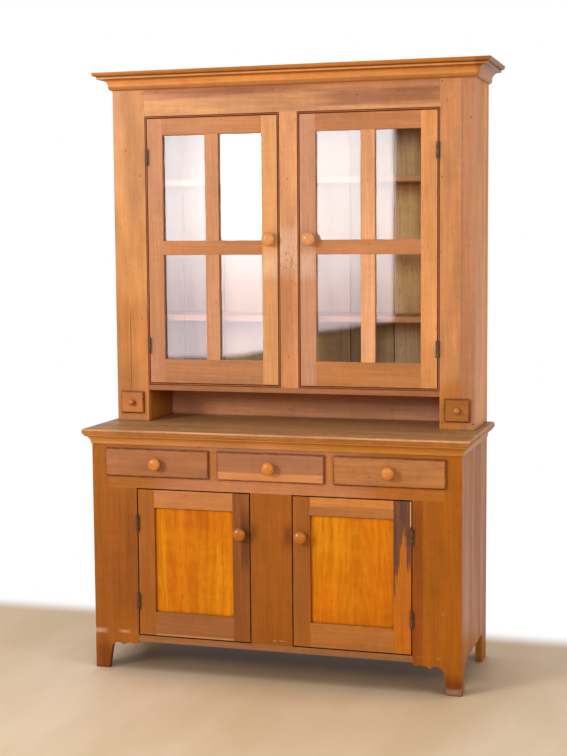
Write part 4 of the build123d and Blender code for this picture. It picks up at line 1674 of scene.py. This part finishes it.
def panel_doors() -> list[PanelDoor]:
    """The two panelled doors, each with the colours of its own boards.

    Returns:
        The left and the right door.
    """
    stain = "54382d"
    board = Pine("c86d08", figure=Figure.CURLY, seed=2.6, contrast=0.8, pitch=30 * MM,
                 centre=(-0.25, 0.9), amber=1.0, gloss=0.08, rough=0.5)
    left = PanelDoor(
        "left",
        Pine("a25c18", seed=1.4, contrast=0.45, marks=(
            tone_of((-0.1405, -0.07), (0.1, 0.7), "884c19"),
            Mark((-0.110, -0.075), (0.40, 0.60), "8a7a80", 0.6, 0.8, 0.4))),
        Pine("bb763e", Grain.ACROSS, seed=1.9, contrast=0.4, marks=(
            tone_of((-0.6, 0.0), (0.1, 0.2162), "955b2e"),
            patch((-0.46, -0.12), (0.124, 0.1385), "c89050", 0.6, 0.6, 0.3))),
        replace(board, marks=(
            patch((-0.262, -0.145), (0.19, 0.49), "cf8008", 0.6, 1.3, 0.3),
            patch((-0.440, -0.374), (0.22, 0.62), "cf800a", 0.6, 1.1, 0.25),
            patch((-0.38, -0.335), (0.2, 0.44), "b85a06", 0.5, 1.3, 0.3),
            patch((-0.38, -0.22), (0.52, 0.60), "b65f10", 0.5, 1.2, 0.3))))
    right = PanelDoor(
        "right",
        Pine("99571a", seed=2.2, contrast=0.45, marks=(
            tone_of((0.4312, 0.50), (0.1, 0.7), "b7630d"),
            Stain((0.4315, 0.488), (0.36, 0.69), stain, 0.95, 0.10, 0.2, tint=False),
            Stain((0.4905, 0.446), (0.42, 0.69), stain, 0.95, 0.10, 0.2, tint=False),
            patch((0.4885, 0.4935), (0.57, 0.66), "dca868", 0.8, 0.3, 0.2))),
        Pine("a46732", Grain.ACROSS, seed=2.8, contrast=0.45, marks=(
            patch((0.1, 0.5), (0.626, 0.70), "c57a35", 0.9, 0.08, 0.05),
            tone_of((0.1, 0.5), (0.1, 0.2162), "a8662b"))),
        replace(board, tone="cb6f08", figure=Figure.ARCHED, seed=3.3, contrast=0.75,
                pitch=26 * MM, centre=(0.30, -0.05), amber=0.9, marks=(
            patch((0.12, 0.29), (0.43, 0.62), "d0820a", 0.6, 1.2, 0.3),
            patch((0.1, 0.45), (0.16, 0.27), "b9630a", 0.45, 1.2, 0.3))))
    return [left, right]


@dataclass
class Drawer:
    """One drawer with its turned knob.

    Attributes:
        name: The drawer's body.
        front: Finish of its front.
        reach: How far its knob stands out.
        tenon: Radius of the knob's tenon.
        tone: The knob's colour.
    """

    name: str
    front: Pine
    reach: float = 34 * MM
    tenon: float = 6 * MM
    tone: str = "cc7c2e"

    def build(self, dresser: Dresser) -> None:
        """Dress the drawer and turn its knob.

        Args:
            dresser: What puts finishes on nodes.
        """
        low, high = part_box(f"{self.name}_front")
        # A dark line round the front: painted shade of its moulded edge, with some soiling.
        rim = ShadeAndSoilRim((low.x, high.x), (low.z, high.z), "6e4030", 0.85)
        dresser.wear(f"{self.name}_front",
                     replace(self.front, marks=(*self.front.marks, rim)))
        dresser.wear(f"{self.name}_box", Pine(
            "b98a5c", Grain.DEEP, seed=self.front.seed + 0.5, contrast=0.35, rough=0.6,
            wear=0.15))
        low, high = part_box(f"{self.name}_knob")
        foot = (low + high) / 2
        foot.y = low.y + self.reach
        knob = TurnedKnob(f"{self.name}_turned_knob", self.name, foot, (high.x - low.x) / 2,
                          self.reach, (self.tenon, high.y - foot.y), self.tone).build()
        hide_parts(f"{self.name}_knob")


def drawers() -> list[Drawer]:
    """All five drawers.

    Returns:
        The three wide ones from the left, and then the two small ones.
    """
    small = {"reach": 19 * MM, "tenon": 3.5 * MM, "tone": "b8702c"}
    board = Pine("a0653c", Grain.ACROSS, seed=5.5, contrast=0.35)
    pale_edge = patch((-0.21, 0.21), (0.69, 0.731), "cc8448", 0.8, 0.25, 0.15)
    return [
        Drawer("drawer_left", board),
        Drawer("drawer_center", replace(board, tone="a46c4c", seed=6.2, contrast=0.4,
                                        marks=(pale_edge,))),
        Drawer("drawer_right", replace(board, tone="ab6e3a", seed=6.9, contrast=0.55,
                                       pitch=9 * MM)),
        Drawer("small_drawer_left", replace(board, tone="bc7438", seed=7.7), **small),
        Drawer("small_drawer_right", replace(board, tone="a26329", seed=8.3, contrast=0.4),
               **small),
    ]


@dataclass
class Lamp:
    """A soft rectangular lamp.

    Attributes:
        name: Its name.
        place: Where it hangs.
        size: Its width and height.
        power: Its power in watts.
    """

    name: str
    place: Triple
    size: Span
    power: float

    def hang(self, aim: Vector) -> None:
        """Hang the lamp.

        Args:
            aim: What it points at.
        """
        data = bpy.data.lights.new(self.name, "AREA")
        data.shape = "RECTANGLE"
        data.size, data.size_y = self.size
        data.energy = self.power
        lamp = bpy.data.objects.new(self.name, data)
        lamp.location = self.place
        lamp.rotation_euler = (aim - lamp.location).to_track_quat("-Z", "Y").to_euler()
        bpy.context.scene.collection.objects.link(lamp)


@dataclass
class Camera:
    """The camera, where the photographer stood.

    Attributes:
        eye: Where it stands.
        yaw: How far it looks to the left of straight ahead, in degrees.
        pitch: How far it looks down, in degrees.
        roll: How far it leans, in degrees.
        lens: Its focal length in millimetres.
        film: The width of its film in millimetres.
    """

    eye: Triple = (1.4858, -4.9552, 1.5334)
    yaw: float = 16.916
    pitch: float = 5.464
    roll: float = -0.441
    lens: float = 69.357
    film: float = 36.0

    def stand(self) -> None:
        """Stand the camera up and look through it."""
        yaw, pitch, roll = (math.radians(a) for a in (self.yaw, self.pitch, self.roll))
        ahead = Vector((-math.sin(yaw) * math.cos(pitch), math.cos(yaw) * math.cos(pitch),
                        -math.sin(pitch)))
        level = Vector((math.cos(yaw), math.sin(yaw), 0))
        rise = level.cross(ahead)
        right = math.cos(roll) * level + math.sin(roll) * rise
        up = -math.sin(roll) * level + math.cos(roll) * rise
        data = bpy.data.cameras.new("camera")
        data.lens = self.lens
        data.sensor_width = self.film
        camera = bpy.data.objects.new("camera", data)
        turn = Matrix((right, up, -ahead)).transposed().to_4x4()
        camera.matrix_world = Matrix.Translation(self.eye) @ turn
        bpy.context.scene.collection.objects.link(camera)
        bpy.context.scene.camera = camera


def only_seen(wiring: Wiring) -> Socket:
    """Which rays only see, as against those that light things.

    Args:
        wiring: The material's or world's nodes.

    Returns:
        1 for a ray that sees, straight or by a mirror or glass, and otherwise 0.
    """
    path = wiring.add("ShaderNodeLightPath").outputs
    seen = wiring.math("ADD", path["Is Camera Ray"], path["Is Glossy Ray"])
    seen = wiring.math("ADD", seen, path["Is Transmission Ray"])
    return wiring.math("MINIMUM", seen, 1.0)


@dataclass
class Floor:
    """A pale floor that fades to white behind the hutch.

    Attributes:
        size: Its width and depth.
        below: How far it lies below the feet.
        tones: The colours that it drifts between, as hex digits.
        shade: What it is tinted with near the hutch, as hex digits.
        wall: Between which depths it fades to white at the back.
        edge: Between which distances it fades to white all round.
        near: How far the hutch shades it.
    """

    size: float = 24.0
    below: float = 0.2 * MM
    tones: tuple[str, str] = ("ead2b4", "dcc09a")
    shade: str = "8c7a68"
    wall: Span = (0.42, 0.62)
    edge: Span = (2.2, 3.6)
    near: float = 0.6

    CLOUDS: ClassVar[Cloud] = Cloud(2.2, 4.0)

    def colour(self, wiring: Wiring, here: Socket) -> Socket:
        """The floor's colour, darker in the hutch's shade.

        Args:
            wiring: The material's nodes.
            here: The point on the floor.

        Returns:
            The colour.
        """
        clouds = wiring.noise(wiring.squeezed(here, (1.0, 0.35, 1.0)), self.CLOUDS)
        colour = wiring.mix(wiring.span(clouds, 0.3, 0.7), *map(paint, self.tones))
        open_sky = wiring.add("ShaderNodeAmbientOcclusion", {"Distance": self.near},
                              samples=8).outputs["AO"]
        shade = wiring.span(open_sky, 0.75, 0.3, 0.0, 0.85)
        return wiring.mix(shade, colour, paint(self.shade), "MULTIPLY")

    def lay(self) -> None:
        """Lay the floor."""
        WORKSHOP.deselect()
        bpy.ops.mesh.primitive_plane_add(size=self.size, location=(0, 0, -self.below))
        floor = bpy.context.object
        floor.name = "floor"
        wiring = Wiring("floor_finish")
        here = wiring.here()
        behind = wiring.span(wiring.parts(here)[1], *self.wall)
        far = wiring.span(wiring.vector("LENGTH", here).outputs["Value"], *self.edge)
        white = wiring.math("MULTIPLY", wiring.math("MAXIMUM", behind, far),
                            only_seen(wiring))
        matt = wiring.surface(self.colour(wiring, here), Roughness=0.55,
                              Specular_IOR_Level=0.25)
        glow = wiring.add("ShaderNodeEmission", {"Color": WHITE, "Strength": 1.0})
        floor.data.materials.append(wiring.finish(wiring.over(white, matt, glow)))


@dataclass
class Card:
    """A bright card that only the panes mirror, with a dark lower part.

    Attributes:
        place: Its middle.
        size: Its width and height.
        right: Between which places the light ends at the right.
        curve: Between which places its lower edge bends.
        bend: The lower edge's height at shares of that way.
        warm: Its colour at the bottom.
        cool: Its colour at the top.
        turn: Between which heights it changes from one to the other.
        grows: Between which places its light grows, from the left.
        wanes: Between which places its light wanes again, to the right.
        climb: Between which heights its light grows.
        base: Its strength below that, at both ends of where it grows.
        base_right: The share of that left where it has waned.
        gain: How much stronger it is above, at both ends of where it grows.
        gain_right: The share of that left where it has waned.
    """

    place: Triple = (-1.4, -5.05, 2.2)
    size: Span = (3.2, 3.6)
    right: Span = (-0.725, -0.785)
    curve: Span = (-2.45, -0.74)
    bend: tuple[Span, ...] = ((0.0, 0.665), (0.27, 0.70), (0.5, 0.76), (0.72, 0.87),
                              (0.88, 0.90), (1.0, 0.95))
    warm: Colour = (1.0, 0.87, 0.98)
    cool: Colour = (1.0, 0.95, 1.0)
    turn: Span = (0.9, 1.7)
    grows: Span = (-2.35, -1.95)
    wanes: Span = (-1.7, -1.3)
    climb: Span = (1.0, 1.75)
    base: Span = (8.8, 10.6)
    base_right: float = 0.64
    gain: Span = (4.2, 9.0)
    gain_right: float = 0.85

    CLOUDS: ClassVar[Cloud] = Cloud(1.3, 2.0)

    def lit(self, wiring: Wiring, x: Socket, z: Socket) -> Socket:
        """Where the card is bright.

        Args:
            wiring: The material's nodes.
            x: The place across.
            z: The height.

        Returns:
            A share from 0, below its curved edge or past its right, to 1.
        """
        edge = wiring.add("ShaderNodeFloatCurve")
        curve = edge.mapping.curves[0]
        for place, height in self.bend[1:-1]:
            curve.points.new(place, height)
        curve.points[0].location = self.bend[0]
        curve.points[len(self.bend) - 1].location = self.bend[-1]
        edge.mapping.update()
        wiring.feed(edge.inputs["Value"], wiring.span(x, *self.curve))
        above = wiring.math("SUBTRACT", z, edge.outputs[0])
        return wiring.math("MULTIPLY", wiring.span(above, -0.03, 0.03),
                           wiring.span(x, *self.right))

    def level(self, wiring: Wiring, x: Socket, z: Socket) -> Socket:
        """How strong the light is, which grows with the height.

        Args:
            wiring: The material's nodes.
            x: The place across.
            z: The height.

        Returns:
            The strength before clouds.
        """
        base = wiring.math("MULTIPLY", wiring.span(x, *self.grows, *self.base),
                           wiring.span(x, *self.wanes, 1.0, self.base_right))
        gain = wiring.math("MULTIPLY", wiring.span(x, *self.grows, *self.gain),
                           wiring.span(x, *self.wanes, 1.0, self.gain_right))
        return wiring.math("MULTIPLY_ADD", wiring.span(z, *self.climb), gain, base)

    def glow(self) -> bpy.types.Material:
        """Make the card's light.

        Returns:
            The material.
        """
        wiring = Wiring("card_glow")
        here = wiring.here()
        x, _, z = wiring.parts(here)[:3]
        clouds = wiring.noise(wiring.squeezed(here, (1.0, 1.0, 0.5)), self.CLOUDS)
        strength = wiring.span(clouds, 0.35, 0.65, 0.9, 1.1)
        for factor in (self.level(wiring, x, z), self.lit(wiring, x, z)):
            strength = wiring.math("MULTIPLY", strength, factor)
        hue = wiring.mix(wiring.span(z, *self.turn), self.warm, self.cool)
        return wiring.finish(wiring.add("ShaderNodeEmission",
                                        {"Color": hue, "Strength": strength}))

    def stand(self, glass: Sequence[bpy.types.Object]) -> None:
        """Stand the card where the panes mirror it, for the panes alone.

        Args:
            glass: The panes.
        """
        WORKSHOP.deselect()
        bpy.ops.mesh.primitive_plane_add(size=1, location=self.place, rotation=TO_FRONT)
        card = bpy.context.object
        card.name = "card"
        card.scale = (*self.size, 1)
        bpy.ops.object.transform_apply(location=True, rotation=True, scale=True)
        card.data.materials.append(self.glow())
        for ray in ("camera", "diffuse", "transmission", "shadow"):
            setattr(card, f"visible_{ray}", False)
        chosen = bpy.data.collections.new("card_lights_only_these")
        for pane in glass:
            chosen.objects.link(pane)
        card.light_linking.receiver_collection = chosen


@dataclass
class Studio:
    """The light, the floor and the card that the panes mirror.

    Attributes:
        aim: What the lamps point at.
        sky: Between which rises the light of the sky grows.
        skylight: The light of the sky at those two rises.
    """

    aim: Triple = (0.0, 0.0, 1.15)
    sky: Span = (-0.1, 0.7)
    skylight: Span = (0.12, 0.5)

    LAMPS: ClassVar[tuple[Lamp, ...]] = (
        Lamp("key", (-3.3, -4.2, 2.6), (1.5, 1.5), 175.0),
        Lamp("front", (1.4, -5.4, 2.5), (2.2, 1.6), 66.0),
        Lamp("fill", (4.2, -2.0, 2.2), (2.0, 2.0), 50.0))

    def world(self) -> None:
        """Light everything softly from above, with white behind."""
        wiring = Wiring("studio", world=True)
        rise = wiring.parts(wiring.add("ShaderNodeTexCoord").outputs["Generated"])[2]
        soft = wiring.span(rise, *self.sky, *self.skylight)
        strength = wiring.add("ShaderNodeMix", data_type="FLOAT")
        for index, value in ((0, only_seen(wiring)), (2, soft), (3, 1.0)):
            wiring.feed(strength.inputs[index], value)
        back = wiring.add("ShaderNodeBackground", {"Color": WHITE,
                                                   "Strength": strength.outputs[0]})
        bpy.context.scene.world = wiring.finish(back)

    def build(self, glass: Sequence[bpy.types.Object]) -> None:
        """Set up the whole studio.

        Args:
            glass: The panes, which alone mirror the card.
        """
        Camera().stand()
        self.world()
        Floor().lay()
        for lamp in self.LAMPS:
            lamp.hang(Vector(self.aim))
        Card().stand(glass)
        bpy.context.scene.view_settings.view_transform = "Standard"
        log.info("studio set")


def main() -> None:
    """Build and dress every sub-assembly, set the studio, and report each piece."""
    logging.basicConfig(level=logging.INFO, format="%(name)s: %(message)s")
    dresser = Dresser(frame["nodes"])
    Carcass.measured().build(dresser)
    for part in (*glass_doors(), *panel_doors(), *drawers()):
        part.build(dresser)
    Studio().build([frame["nodes"][f"glass_door_{side}_panes"] for side in SIDES])


if __name__ == "__main__":
    main()
